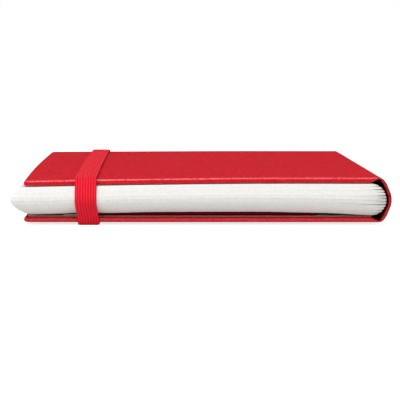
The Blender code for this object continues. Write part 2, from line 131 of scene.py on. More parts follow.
@dataclass(frozen=True)
class Sizes:
    """Sizes that the sub-assemblies share."""

    cover_width: float = 0.127
    cover_length: float = 0.210
    corner_radius: float = 0.003
    board: float = 0.00095
    skin: float = 0.0003
    glue: float = 0.00015
    spine_bulge: float = 0.003
    endpaper: float = 0.00012
    signatures: int = 11
    leaves: int = 8
    leaf: float = 0.0000955
    leaf_gap: float = 0.0002
    page_tip: float = 0.0045
    top_step: float = 0.0036
    bottom_step: float = 0.0056
    fore_curves: Span = (1.65, 1.7)
    end_curves: Span = (1.7, 2.2)
    page_corner: float = 0.003
    spine_round: float = 0.0042
    spine_apex: float = 0.00085
    spine_curves: Span = (2.2, 0.7)
    block_gap_front: float = 0.000286
    block_gap_back: float = 0.00025
    cover_droop: float = 0.0012
    block_sag: float = 0.00025
    fore_drop: float = 0.0006
    fore_run: float = 0.016
    head_droop: float = 0.35
    droop_reach: float = 0.090
    droop_curve: float = 1.5
    pocket_rise: float = 0.00137
    pocket_opening: float = 0.103
    pocket_fold: float = 0.024
    lift_run: float = 0.005
    curl_down_start: float = 0.0021
    curl_down_run: float = 0.001
    curl_down: float = 0.0003
    curl_hang: float = 0.0003
    curl_up_start: float = 0.0012
    curl_up_run: float = 0.0022
    curl_up: float = 0.0006
    curl_places: Span = (0.030, 0.100)
    curl_width: float = 0.010
    band_width: float = 0.0076
    band_thickness: float = 0.0008
    band_from_edge: float = 0.022
    band_gap: float = 0.0002
    band_skew: float = 0.001
    anchor_reach: float = 0.013
    slot_gap: float = 0.0003

    @property
    def half_length(self) -> float:
        """From the middle of a cover to its tail or head."""
        return self.cover_length / 2

    @property
    def cover(self) -> float:
        """Thickness of a board with the leatherette round it."""
        return 2 * self.skin + 2 * self.glue + self.board

    @property
    def lined_cover(self) -> float:
        """Thickness of a cover with its pastedown."""
        return self.cover + self.glue + self.endpaper

    @property
    def signature(self) -> float:
        """Thickness of one signature."""
        return self.leaves * self.leaf

    @property
    def block_height(self) -> float:
        """Thickness of the page block with its flyleaves."""
        gaps = (self.signatures + 1) * self.leaf_gap
        return 2 * self.endpaper + self.signatures * self.signature + gaps

    @property
    def case_height(self) -> float:
        """From the outside of the back cover to that of the front cover."""
        gaps = self.block_gap_back + self.block_gap_front
        return 2 * self.lined_cover + self.block_height + gaps

    @property
    def back_outer(self) -> float:
        """Height of the back cover's outside."""
        return self.band_thickness + self.band_gap

    @property
    def front_outer(self) -> float:
        """Height of the front cover's outside."""
        return self.back_outer + self.case_height

    @property
    def back_inner(self) -> float:
        """Height of the back pastedown's upper side."""
        return self.back_outer + self.lined_cover

    @property
    def block_bottom(self) -> float:
        """Height of the page block's underside at the spine."""
        return self.back_inner + self.block_gap_back

    @property
    def block_top(self) -> float:
        """Height of the page block's upper side."""
        return self.block_bottom + self.block_height

    @property
    def block_middle(self) -> float:
        """Height at which the page block opens."""
        return (self.block_bottom + self.block_top) / 2

    @property
    def case_middle(self) -> float:
        """Height halfway between the covers."""
        return (self.back_outer + self.front_outer) / 2

    @property
    def fore_edge_x(self) -> float:
        """X of the covers' fore-edge."""
        return -(self.cover_width + self.spine_bulge - self.page_tip) / 2

    @property
    def fold_x(self) -> float:
        """X of the fold lines between the covers and the spine."""
        return self.fore_edge_x + self.cover_width

    @property
    def apex(self) -> float:
        """Distance u of the block's rounded back at mid-height."""
        return self.cover_width + self.spine_apex

    @property
    def spine_radius(self) -> float:
        """Radius of the bowed spine: half its chord and its bulge, each squared, over twice the bulge."""
        half = self.case_height / 2
        return (half**2 + self.spine_bulge**2) / (2 * self.spine_bulge)

    @property
    def spine_centre_x(self) -> float:
        """X of the spine's centre of curvature."""
        return self.fold_x + self.spine_bulge - self.spine_radius

    @property
    def band_x(self) -> float:
        """X of the middle of the elastic band on the front cover."""
        return self.fore_edge_x + self.band_from_edge

    @property
    def anchor_u(self) -> float:
        """Distance u of the middle of the elastic's ends under the back cover."""
        return self.band_from_edge + self.band_skew

    @property
    def slot_y(self) -> float:
        """Distance from the middle to the slots that the elastic's ends go through."""
        return self.half_length - self.anchor_reach

    def droop(self, u: Array, y: Array) -> Array:
        """How far a point is drawn down, from 0 to 1 at the tail's fore-edge corner.

        It is the distance from the fore-edge, counted down to 0 at the end of the droop's reach and raised
        to a power, times the square of the distance from the middle, and less towards the head.

        Args:
            u: Distance from the covers' fore-edge.
            y: Distance from the middle, towards the head.

        Returns:
            The share of the whole droop, in the shape of u and y together.
        """
        reach = np.clip(1 - u / self.droop_reach, 0, None)
        side = np.where(np.asarray(y) < 0, 1, self.head_droop)
        return side * reach**self.droop_curve * (y / self.half_length) ** 2

    def block_level(self, u: Array, y: Array, flat_z: Array) -> Array:
        """Where a height in the flat block comes to lie in the settled one.

        The underside is lifted by the pocket along a soft step, drops along another beyond the pocket's
        fold and sags at the corners. The upper side follows the front cover. A height in between keeps its
        share of the thickness. Past the pocket's sides and the covers' linings the outermost leaves curl
        outwards, along a soft step.

        Args:
            u: Distance from the covers' fore-edge.
            y: Distance from the middle, towards the head.
            flat_z: Height in the flat block.

        Returns:
            Heights in the settled block.
        """
        run = (self.cover_width - u) / (self.cover_width - self.pocket_opening + self.lift_run)
        drawn = self.droop(u, y)
        drop = self.fore_drop * soft_step((self.pocket_fold - u) / self.fore_run)
        low = self.block_bottom + self.pocket_rise * soft_step(run) - drop - self.block_sag * drawn
        high = self.block_top - self.cover_droop * drawn
        past = np.abs(y) - self.half_length
        hang = sum(np.exp(-(((u - place) / self.curl_width) ** 2)) for place in self.curl_places)
        free = soft_step((past + self.curl_down_start) / self.curl_down_run)
        low = low - free * (self.curl_down + self.curl_hang * hang)
        high = high + self.curl_up * soft_step((past + self.curl_up_start) / self.curl_up_run)
        return low + (flat_z - self.block_bottom) / self.block_height * (high - low)

    def overhang(self, flat_z: Array, curves: Span) -> Array:
        """How far the pages stand proud of the covers: most at mid-height, less by a power of the distance.

        Args:
            flat_z: Height in the flat block.
            curves: The powers above and below mid-height.

        Returns:
            Distances out from the covers' outline.
        """
        t = 2 * (flat_z - self.block_bottom) / self.block_height - 1
        above = self.top_step * np.abs(t) ** curves[0]
        below = self.bottom_step * np.abs(t) ** curves[1]
        return self.page_tip - np.where(t > 0, above, below)

    def block_spine(self, flat_z: Array) -> Array:
        """Distance u of the block's rounded back: a superellipse that falls away from its apex."""
        t = np.clip(np.abs(2 * (flat_z - self.block_bottom) / self.block_height - 1), 0, 1)
        inner, outer = self.spine_curves
        return self.apex - self.spine_round * (1 - (1 - t**inner) ** outer)


SIZES = Sizes()


class Draft:
    """Vertices, faces and values of one piece while it is put together."""

    def __init__(self) -> None:
        """Starts with nothing in it."""
        self.points: list[Array] = []
        self.faces: list[list[int]] = []
        self.finish_numbers: list[int] = []
        self.values: dict[str, list[Array]] = {}
        self.count = 0

    def add(self, points: Array, **values: Array) -> Array:
        """Adds points in a grid of any shape.

        Args:
            points: Positions, with the coordinate on the last axis.
            **values: A number for each point, kept on the mesh under its name.

        Returns:
            The points' numbers, in the shape of the grid.
        """
        shape = points.shape[:-1]
        numbers = self.count + np.arange(int(np.prod(shape))).reshape(shape)
        self.points.append(points.reshape(-1, 3))
        for name, value in values.items():
            self.values.setdefault(name, []).append(np.broadcast_to(value, shape).reshape(-1))
        self.count += numbers.size
        return numbers

    def skin(self, numbers: Array, finish: int = 0) -> None:
        """Covers a grid of point numbers with four-sided faces.

        Args:
            numbers: Point numbers in rows and columns.
            finish: Which of the piece's finishes the faces take.
        """
        corners = (numbers[:-1, :-1], numbers[1:, :-1], numbers[1:, 1:], numbers[:-1, 1:])
        quads = np.stack(corners, axis=-1).reshape(-1, 4).tolist()
        self.faces += quads
        self.finish_numbers += [finish] * len(quads)

    def tube(self, numbers: Array, finish: int = 0) -> None:
        """Covers rings of point numbers, each closed on itself, and closes both ends."""
        self.skin(np.concatenate((numbers, numbers[:, :1]), axis=1), finish)
        self.cap(numbers[0], finish)
        self.cap(numbers[-1], finish)

    def cap(self, ring: Array, finish: int = 0) -> None:
        """Closes a ring of point numbers with one face."""
        self.faces.append(ring.tolist())
        self.finish_numbers.append(finish)

    def build(
        self, name: str, finishes: Sequence[bpy.types.Material], sharp: float = 40.0
    ) -> bpy.types.Object:
        """Makes the object, with its faces turned outwards.

        Args:
            name: The piece's name.
            finishes: Its materials, in the order of the faces' finish numbers.
            sharp: Angle in degrees past which an edge is shaded as a crease.

        Returns:
            The object, linked to the scene.
        """
        mesh = bpy.data.meshes.new(name)
        mesh.from_pydata(np.concatenate(self.points).tolist(), [], self.faces)
        shape = bmesh.new()
        shape.from_mesh(mesh)
        bmesh.ops.recalc_face_normals(shape, faces=shape.faces)
        shape.to_mesh(mesh)
        shape.free()
        mesh.polygons.foreach_set("material_index", self.finish_numbers)
        for finish in finishes:
            mesh.materials.append(finish)
        mesh.shade_smooth()
        mesh.set_sharp_from_angle(angle=math.radians(sharp))
        values = {key: np.concatenate(parts).astype(np.float32) for key, parts in self.values.items()}
        if "along" in values:
            corner_points = np.empty(len(mesh.loops), dtype=np.int32)
            mesh.loops.foreach_get("vertex_index", corner_points)
            pairs = np.stack((values.pop("along"), values.pop("across")), axis=-1)
            mesh.uv_layers.new(name="cloth").data.foreach_set("uv", pairs[corner_points].reshape(-1))
        for key, value in values.items():
            mesh.attributes.new(key, "FLOAT", "POINT").data.foreach_set("value", value)
        obj = bpy.data.objects.new(name, mesh)
        bpy.context.scene.collection.objects.link(obj)
        LOG.info("%s: %d points, %d faces", name, self.count, len(self.faces))
        return obj


def rounded_path(corners: Sequence[Span], radii: Sequence[float], step: float) -> Array:
    """A path of straight runs whose inner corners are turned into arcs, in points a step apart.

    Each corner gives up radius times tan(half its turn) of the runs that meet there, and the arc is the
    blend of its two ends and the corner that a circle of that radius makes.

    Args:
        corners: The path's corners in two coordinates.
        radii: The radius at each inner corner.
        step: Distance between the points of the result.

    Returns:
        The points, one per row.
    """
    nodes = np.array(corners, dtype=float)
    runs = [nodes[:1]]
    for before, corner, after, radius in zip(nodes, nodes[1:], nodes[2:], radii):
        arriving = (corner - before) / np.linalg.norm(corner - before)
        leaving = (after - corner) / np.linalg.norm(after - corner)
        cross = arriving[0] * leaving[1] - arriving[1] * leaving[0]
        turn = math.atan2(cross, float(arriving @ leaving))
        give = radius * math.tan(abs(turn) / 2)
        inwards = math.copysign(1, turn) * np.array((-arriving[1], arriving[0]))
        centre = corner - give * arriving + radius * inwards
        angles = np.linspace(0, abs(turn), ARC_POINTS)[:, None]
        runs.append(centre + radius * (np.sin(angles) * arriving - np.cos(angles) * inwards))
    runs.append(nodes[-1:])
    return evenly_spaced(np.concatenate(runs), step)


def evenly_spaced(points: Array, step: float) -> Array:
    """The same path in points that are about a step apart along it."""
    lengths = np.concatenate(([0], np.cumsum(np.linalg.norm(np.diff(points, axis=0), axis=1))))
    stations = np.linspace(0, lengths[-1], max(2, round(lengths[-1] / step)))
    return np.stack([np.interp(stations, lengths, line) for line in points.T], axis=-1)


def path_frame(points: Array) -> tuple[Array, Array]:
    """Length so far and left-hand direction at each point of a flat path, from its central differences."""
    along = np.gradient(points, axis=0)
    along /= np.linalg.norm(along, axis=1, keepdims=True)
    steps = np.linalg.norm(np.diff(points, axis=0), axis=1)
    lengths = np.concatenate(([0], np.cumsum(steps)))
    return lengths, np.stack((-along[:, 1], along[:, 0]), axis=-1)


class NodePad:
    """Adds nodes to one node tree in few words."""

    MIX_COLOURS = (6, 7)
    MIXED_COLOUR = 2

    def __init__(self, tree: bpy.types.NodeTree) -> None:
        """Takes the tree that the nodes go into."""
        self.tree = tree

    def feed(self, node: bpy.types.Node, inputs: dict[Any, Any]) -> None:
        """Sets or links a node's inputs.

        Args:
            node: The node.
            inputs: Values or output sockets, by the input's name or number.
        """
        for key, value in inputs.items():
            if isinstance(value, bpy.types.NodeSocket):
                self.tree.links.new(value, node.inputs[key])
            else:
                node.inputs[key].default_value = value

    def add(self, kind: str, inputs: dict[Any, Any] | None = None, **settings: Any) -> bpy.types.Node:
        """Adds a node.

        Args:
            kind: The node's type, without its leading ShaderNode.
            inputs: Values or output sockets, by the input's name or number.
            **settings: Properties of the node itself.

        Returns:
            The node.
        """
        node = self.tree.nodes.new("ShaderNode" + kind)
        for key, value in settings.items():
            setattr(node, key, value)
        self.feed(node, inputs or {})
        return node

    def math(self, operation: str, first: Any, second: Any = 0.0) -> bpy.types.NodeSocket:
        """The result of a sum, product or other operation on one or two values."""
        return self.add("Math", {0: first, 1: second}, operation=operation).outputs[0]

    def plus(self, first: Any, second: Any, share: Any) -> bpy.types.NodeSocket:
        """A value with a share of a second one added to it."""
        return self.math("ADD", first, self.math("MULTIPLY", second, share))

    def ranged(self, value: Any, span: Span = UNIT, to: Span = UNIT) -> bpy.types.NodeSocket:
        """A value carried over from one span to another, and held at its ends."""
        names = ("Value", "From Min", "From Max", "To Min", "To Max")
        return self.add("MapRange", dict(zip(names, (value, *span, *to)))).outputs["Result"]

    def blend(self, share: Any, first: Any, second: Any) -> bpy.types.NodeSocket:
        """A colour between two, by a share from 0 to 1."""
        ends = [end if isinstance(end, bpy.types.NodeSocket) else (*end, 1) for end in (first, second)]
        inputs = {0: share, **dict(zip(self.MIX_COLOURS, ends))}
        return self.add("Mix", inputs, data_type="RGBA").outputs[self.MIXED_COLOUR]

    def noise(self, vector: Any, scale: Any, detail: float = 3.0) -> bpy.types.NodeSocket:
        """Cloudy values from 0 to 1."""
        inputs = {"Vector": vector, "Scale": scale, "Detail": detail}
        return self.add("TexNoise", inputs).outputs["Fac"]

    def place(self) -> bpy.types.NodeSocket:
        """Coordinates of the piece in metres."""
        return self.add("TexCoord").outputs["Object"]

    def kept(self, name: str) -> bpy.types.NodeSocket:
        """A value that the piece's mesh keeps under a name."""
        return self.add("Attribute", attribute_name=name).outputs["Fac"]

    def bump(self, height: Any, depth: float) -> bpy.types.NodeSocket:
        """A normal tilted by a height from 0 to 1 over a depth in metres."""
        inputs = {"Height": height, "Distance": depth, "Strength": 1.0}
        return self.add("Bump", inputs).outputs["Normal"]


class SharedEffects:
    """Surface effects that more than one finish uses, each a node group that is built once."""

    WANDER_SCALE = 420.0
    WANDER_DETAIL = 2.0
    WANDER_REACH = 0.0007
    COARSE_DETAIL = 4.0
    FINE_DETAIL = 2.0
    TONE_SPAN = (0.3, 0.7)
    SPECK_SPAN = (0.35, 0.65)
    WAVE_SPAN = (-1.0, 1.0)
    STITCH_RISE = (0.55, 1.0)

    def __init__(self) -> None:
        """Builds the groups."""
        self.pebbles = self.build_pebbles()
        self.mottle = self.build_mottle()
        self.weave = self.build_weave()

    @staticmethod
    def start(name: str, takes: Sequence[str], gives: Sequence[str]) -> tuple[Any, NodePad, Any, Any]:
        """Makes an empty group with its sockets.

        Args:
            name: The group's name.
            takes: Names of its inputs.
            gives: Names of its outputs.

        Returns:
            The group, a pad for its nodes, and its input and output nodes.
        """
        group = bpy.data.node_groups.new(name, "ShaderNodeTree")
        for label in takes:
            group.interface.new_socket(label, in_out="INPUT", socket_type="NodeSocketFloat")
        for label in gives:
            group.interface.new_socket(label, in_out="OUTPUT", socket_type="NodeSocketFloat")
        entry = group.nodes.new("NodeGroupInput")
        leave = group.nodes.new("NodeGroupOutput")
        return group, NodePad(group), entry, leave

    def build_pebbles(self) -> bpy.types.NodeTree:
        """Pebbled grain: rounded cells with creases between them, and a number for each cell."""
        takes, gives = ("Cells", "Crease"), ("Height", "Valley", "Cell")
        group, pad, entry, leave = self.start("pebbled grain", takes, gives)
        place = pad.place()
        noise = {"Vector": place, "Scale": self.WANDER_SCALE, "Detail": self.WANDER_DETAIL}
        wander = pad.add("TexNoise", noise).outputs["Color"]
        moved = pad.add("VectorMath", {0: wander, "Scale": self.WANDER_REACH}, operation="SCALE").outputs[0]
        start = pad.add("VectorMath", {0: place, 1: moved}, operation="ADD").outputs[0]
        cells = {"Vector": start, "Scale": entry.outputs["Cells"]}
        edge = pad.add("TexVoronoi", cells, feature="DISTANCE_TO_EDGE").outputs["Distance"]
        rise = pad.math("DIVIDE", edge, entry.outputs["Crease"])
        height = pad.math("SINE", pad.math("MULTIPLY", pad.math("MINIMUM", rise, 1.0), math.pi / 2))
        valley = pad.math("SUBTRACT", 1.0, height)
        chance = pad.add("TexVoronoi", cells, feature="F1").outputs["Color"]
        cell = pad.add("SeparateColor", {0: chance}).outputs[0]
        pad.feed(leave, {"Height": height, "Valley": valley, "Cell": cell})
        return group

    def build_mottle(self) -> bpy.types.NodeTree:
        """Slow, uneven changes of tone, coarse and fine together."""
        group, pad, entry, leave = self.start("mottle", ("Patches", "Specks"), ("Tone", "Speck"))
        place = pad.place()
        coarse = pad.noise(place, entry.outputs["Patches"], self.COARSE_DETAIL)
        fine = pad.noise(place, entry.outputs["Specks"], self.FINE_DETAIL)
        tone, speck = pad.ranged(coarse, self.TONE_SPAN), pad.ranged(fine, self.SPECK_SPAN)
        pad.feed(leave, {"Tone": tone, "Speck": speck})
        return group

    def build_weave(self) -> bpy.types.NodeTree:
        """Threads that cross: ribs along the cloth, and stitches that slant across each rib."""
        group, pad, entry, leave = self.start("weave", ("Stitches", "Ribs", "Slant"), ("Height", "Stitch"))
        cloth = pad.add("UVMap", uv_map="cloth").outputs[0]
        parts = pad.add("SeparateXYZ", {0: cloth})
        along = pad.math("MULTIPLY", parts.outputs[0], entry.outputs["Stitches"])
        across = pad.math("MULTIPLY", parts.outputs[1], entry.outputs["Ribs"])
        slanted = pad.plus(along, across, entry.outputs["Slant"])
        wave = pad.math("SINE", pad.math("MULTIPLY", slanted, 2 * math.pi))
        stitch = pad.ranged(wave, self.WAVE_SPAN)
        rib = pad.math("ABSOLUTE", pad.math("SINE", pad.math("MULTIPLY", across, math.pi)))
        height = pad.math("MULTIPLY", rib, pad.ranged(stitch, to=self.STITCH_RISE))
        pad.feed(leave, {"Height": height, "Stitch": stitch})
        return group


class Finish:
    """What all finishes share."""

    @staticmethod
    def start(name: str) -> tuple[bpy.types.Material, NodePad, bpy.types.Node]:
        """Makes a material.

        Args:
            name: The material's name.

        Returns:
            The material, a pad for its nodes and its shader.
        """
        material = bpy.data.materials.new(name)
        material.use_nodes = True
        return material, NodePad(material.node_tree), material.node_tree.nodes["Principled BSDF"]

    @staticmethod
    def effect(pad: NodePad, group: bpy.types.NodeTree, **inputs: float) -> bpy.types.Node:
        """Places a shared effect with its own values."""
        return pad.add("Group", inputs, node_tree=group)


@dataclass(frozen=True)
class Leatherette(Finish):
    """Red grained covering material with a satin face."""

    # The dark and pale ends of the tone. Besides the random tone of the grain, the pale end carries the
    # painted highlight on the rims and the painted light on the edges.
    colour: Colour = (0.38, 0.003, 0.009)
    worn: Colour = (0.96, 0.024, 0.041)
    cells: float = 1000.0
    crease_width: float = 0.26
    grain_depth: float = 0.00006
    patches: float = 110.0
    specks: float = 380.0
    patch_tone: Span = (0.06, 0.12)
    speck_tone: float = 0.2
    cell_tone: float = 0.62
    # Stretched edges even their tone out to this share, lighter than the face: painted light on the edges.
    lit_edge_tone: float = 0.75
    edge_grain: float = 0.25
    # The turn-in and the spine are darkened to this share: painted shade.
    turn_in_shade: float = 0.0
    valley_share: float = 0.6
    roughness: Span = (0.70, 0.82)
    specular: float = 0.013
    glint_scale: float = 2000.0
    glint_detail: float = 1.0
    glint_span: Span = (0.36, 0.64)
    glint_rise: Span = (0.1, 1.0)
    # The rim value lightens the colour by this share: a painted highlight, besides the coat's own gloss.
    rim_highlight_tone: float = 0.5
    rim_roughness: float = 0.28
    rim_index: float = 2.5

    def make(self, effects: SharedEffects) -> bpy.types.Material:
        """Builds the material: pebbles of uneven tone with darker valleys.

        The stretch value says where the tones even out, to a lighter tone that is painted light on the
        edges; the inside value where they are darkened as painted shade; and the rim value where glints are
        polished in the coat and a highlight is painted into the colour.

        Args:
            effects: The shared effects.

        Returns:
            The material.
        """
        material, pad, shader = self.start("red_leatherette")
        grain = self.effect(pad, effects.pebbles, Cells=self.cells, Crease=self.crease_width)
        mottle = self.effect(pad, effects.mottle, Patches=self.patches, Specks=self.specks)
        uneven = pad.ranged(mottle.outputs["Tone"], to=self.patch_tone)
        uneven = pad.plus(uneven, mottle.outputs["Speck"], self.speck_tone)
        uneven = pad.plus(uneven, grain.outputs["Cell"], self.cell_tone)
        # Stretched edges even out to a lighter tone: painted light on the edges.
        contrast = pad.ranged(pad.kept("stretch"), to=(1.0, self.edge_grain))
        uneven = pad.math("MULTIPLY", pad.math("SUBTRACT", uneven, self.lit_edge_tone), contrast)
        uneven = pad.math("ADD", uneven, self.lit_edge_tone)
        # The turn-in, its inner round and the spine are darkened: painted shade.
        painted_shade_factor = pad.ranged(pad.kept("inside"), to=(1.0, self.turn_in_shade))
        uneven = pad.math("MULTIPLY", uneven, painted_shade_factor)
        # Polish glosses the coat and also paints a highlight into the colour, towards the pale end.
        glints = pad.noise(pad.place(), self.glint_scale, self.glint_detail)
        rim_gloss_and_highlight = pad.math("MULTIPLY", pad.kept("rim"), pad.ranged(glints, self.glint_span, self.glint_rise))
        tone = pad.blend(pad.plus(uneven, rim_gloss_and_highlight, self.rim_highlight_tone), self.colour, self.worn)
        dark = pad.math("MULTIPLY", grain.outputs["Valley"], self.valley_share)
        looks = {
            "Base Color": pad.blend(dark, tone, self.colour),
            "Roughness": pad.ranged(mottle.outputs["Speck"], to=self.roughness),
            "Normal": pad.bump(grain.outputs["Height"], self.grain_depth),
            "Specular IOR Level": self.specular,
            "Coat Weight": rim_gloss_and_highlight,
            "Coat Roughness": self.rim_roughness,
            "Coat IOR": self.rim_index,
        }
        pad.feed(shader, looks)
        return material


@dataclass(frozen=True)
class PageEdges(Finish):
    """Cut edges of many white leaves, streaked along the leaves, with painted shade in the creases."""

    colour: Colour = (0.86, 0.852, 0.83)
    shade: Colour = (0.66, 0.65, 0.625)
    # Colour of the painted shade in the creases between signatures.
    crease: Colour = (0.16, 0.12, 0.11)
    streak_scale: float = 14.0
    streak_detail: float = 3.0
    leaf_step: float = 0.55
    streak_span: Span = (0.52, 0.78)
    streak_tone: Span = (0.0, 0.4)
    patches: float = 60.0
    specks: float = 1100.0
    speck_tone: float = 0.3
    leaf_depth: float = 0.00008
    roughness: float = 0.85
    specular: float = 0.2

    def make(self, effects: SharedEffects) -> bpy.types.Material:
        """Builds the material: noise drawn out along each leaf, specks, and painted shade by the crease
        value.
        """
        material, pad, shader = self.start("white_page_edges")
        parts = pad.add("SeparateXYZ", {0: pad.place()})
        run = pad.add("CombineXYZ", {0: parts.outputs[0], 1: parts.outputs[1]}).outputs[0]
        scale = (self.streak_scale, self.streak_scale, 1.0)
        noise = {
            "Vector": pad.add("Mapping", {"Vector": run, "Scale": scale}).outputs[0],
            "W": pad.math("MULTIPLY", pad.kept("leaf"), self.leaf_step),
            "Scale": 1.0,
            "Detail": self.streak_detail,
        }
        sheets = pad.add("TexNoise", noise, noise_dimensions="4D").outputs["Fac"]
        streak = pad.ranged(sheets, self.streak_span, self.streak_tone)
        mottle = self.effect(pad, effects.mottle, Patches=self.patches, Specks=self.specks)
        worn = pad.plus(streak, mottle.outputs["Speck"], self.speck_tone)
        paper = pad.blend(worn, self.colour, self.shade)
        looks = {
            "Base Color": pad.blend(pad.kept("crease"), paper, self.crease),
            "Normal": pad.bump(sheets, self.leaf_depth),
            "Roughness": self.roughness,
            "Specular IOR Level": self.specular,
        }
        pad.feed(shader, looks)
        return material


@dataclass(frozen=True)
class Paper(Finish):
    """A sheet of paper, card or board with short fibres and a slight change of tone."""

    name: str
    colour: Colour
    shade: Colour
    specks: float = 1800.0
    fibre_depth: float = 0.00002
    patches: float = 60.0
    patch_tone: float = 0.5
    speck_tone: float = 0.35
    roughness: float = 0.9
    specular: float = 0.2

    def make(self, effects: SharedEffects) -> bpy.types.Material:
        """Builds the material: patches and specks between two tones."""
        material, pad, shader = self.start(self.name)
        mottle = self.effect(pad, effects.mottle, Patches=self.patches, Specks=self.specks)
        share = pad.math("MULTIPLY", mottle.outputs["Tone"], self.patch_tone)
        share = pad.plus(share, mottle.outputs["Speck"], self.speck_tone)
        looks = {
            "Base Color": pad.blend(share, self.colour, self.shade),
            "Normal": pad.bump(mottle.outputs["Speck"], self.fibre_depth),
            "Roughness": self.roughness,
            "Specular IOR Level": self.specular,
        }
        pad.feed(shader, looks)
        return material


@dataclass(frozen=True)
class WovenCloth(Finish):
    """Woven cloth or webbing: ribs with slanting stitches, on the piece's own cloth map."""

    name: str
    colour: Colour
    hollow: Colour
    stitches: float
    ribs: float
    slant: float = 0.5
    thread_span: Span = (0.0, 0.9)
    thread_tone: Span = (0.0, 0.75)
    patches: float = 90.0
    specks: float = 2600.0
    fuzz_tone: float = 0.3
    weave_depth: float = 0.00008
    roughness: float = 0.8
    specular: float = 0.03

    def make(self, effects: SharedEffects) -> bpy.types.Material:
        """Builds the material: hollows between the threads are darker and lower."""
        material, pad, shader = self.start(self.name)
        weave = self.effect(pad, effects.weave, Stitches=self.stitches, Ribs=self.ribs, Slant=self.slant)
        mottle = self.effect(pad, effects.mottle, Patches=self.patches, Specks=self.specks)
        height = weave.outputs["Height"]
        fuzz = pad.math("MULTIPLY", mottle.outputs["Speck"], self.fuzz_tone)
        share = pad.math("ADD", pad.ranged(height, self.thread_span, self.thread_tone), fuzz)
        looks = {
            "Base Color": pad.blend(share, self.hollow, self.colour),
            "Normal": pad.bump(pad.math("ADD", height, fuzz), self.weave_depth),
            "Roughness": self.roughness,
            "Specular IOR Level": self.specular,
        }
        pad.feed(shader, looks)
        return material


@dataclass(frozen=True)
class Finishes:
    """Every finish of the notebook, ready to use."""

    leatherette: bpy.types.Material
    page_edges: bpy.types.Material
    page_face: bpy.types.Material
    endpaper: bpy.types.Material
    card: bpy.types.Material
    board: bpy.types.Material
    elastic: bpy.types.Material
    cloth: bpy.types.Material
    gauze: bpy.types.Material
    thread: bpy.types.Material

    @classmethod
    def make(cls) -> "Finishes":
        """Builds the shared effects and every material."""
        white, ivory = (0.84, 0.83, 0.80), (0.78, 0.77, 0.73)
        cream, tan = (0.82, 0.70, 0.60), (0.74, 0.61, 0.50)
        grey, dark_grey = (0.36, 0.33, 0.29), (0.24, 0.22, 0.19)
        red, dark_red = (0.98, 0.030, 0.055), (0.50, 0.003, 0.011)
        maroon, dark_maroon = (0.24, 0.005, 0.009), (0.10, 0.002, 0.004)
        cotton, dark_cotton = (0.70, 0.68, 0.62), (0.30, 0.28, 0.24)
        linen, dark_linen = (0.85, 0.84, 0.82), (0.55, 0.54, 0.52)
        looks = {
            "leatherette": Leatherette(),
            "page_edges": PageEdges(),
            "page_face": Paper("white_page", white, ivory),
            "endpaper": Paper("cream_endpaper", cream, tan),
            "card": Paper("cream_card", cream, tan, specks=1200.0),
            "board": Paper("grey_board", grey, dark_grey, specks=1400.0, fibre_depth=0.00006),
            "elastic": WovenCloth("red_elastic", red, dark_red, stitches=10.0, ribs=8.0),
            "cloth": WovenCloth("dark_red_cloth", maroon, dark_maroon, stitches=5.0, ribs=5.0),
            "gauze": WovenCloth("cotton_gauze", cotton, dark_cotton, stitches=2.0, ribs=2.0),
            "thread": WovenCloth("linen_thread", linen, dark_linen, stitches=6.0, ribs=2.0),
        }
        effects = SharedEffects()
        return cls(**{name: look.make(effects) for name, look in looks.items()})


@dataclass(frozen=True)
class RimShape:
    """Section of a covered edge: round outside, a groove, round inside, the turn-in and its end.

    The points are pairs of the distance in from the outline and the depth under the outer face.
    """

    thickness: float
    outer_round: float
    inner_round: float
    inner_depth: float
    groove: float = 0.0
    groove_half_width: float = 0.00003
    turn_in: float = 0.0025

    OUTER_POINTS = 7
    GROOVE_POINTS = 3
    INNER_POINTS = 5
    END_POINTS = 2

    def points(self) -> Array:
        """Quarter circle, the points of the groove, quarter circle, then the turn-in."""
        quarter = np.linspace(0, math.pi / 2, self.OUTER_POINTS)
        outer = self.outer_round * np.stack((1 - np.sin(quarter), 1 - np.cos(quarter)), axis=-1)
        middle = (self.outer_round + self.thickness - self.inner_round) / 2
        half = self.groove_half_width
        groove = np.array(((0, middle - half), (self.groove, middle), (0, middle + half)))
        turned = np.linspace(0, math.pi / 2, self.INNER_POINTS)
        inner = self.inner_round * np.stack((1 - np.cos(turned), np.sin(turned) - 1), axis=-1)
        inner[:, 1] += self.thickness
        end = np.array(((self.turn_in, self.thickness), (self.turn_in, self.inner_depth)))
        return np.concatenate((outer, groove, inner, end))

    @classmethod
    def turned_in(cls) -> Array:
        """How far inside each of the points lies: from 0 to 1 over the inner round."""
        outside = np.zeros(cls.OUTER_POINTS + cls.GROOVE_POINTS)
        return np.concatenate((outside, np.linspace(0, 1, cls.INNER_POINTS), np.ones(cls.END_POINTS)))

    @classmethod
    def polish_and_highlight(cls, rounds: float, middle: float) -> Array:
        """How much each of the points is polished: the sine of twice the angle on both rounds.

        The same value paints a highlight into the leather's colour.

        Args:
            rounds: How much the rounds are polished, at their middle.
            middle: How much the edge between the rounds is polished. It fades out over the rounds.

        Returns:
            A value from 0 to 1 for each point.
        """
        outer, inner = np.linspace(0, 1, cls.OUTER_POINTS), np.linspace(1, 0, cls.INNER_POINTS)
        outer = np.maximum(rounds * np.sin(math.pi * outer), middle * outer)
        inner = np.maximum(rounds * np.sin(math.pi * inner), middle * inner)
        return np.concatenate((outer, np.full(cls.GROOVE_POINTS, middle), inner, np.zeros(cls.END_POINTS)))


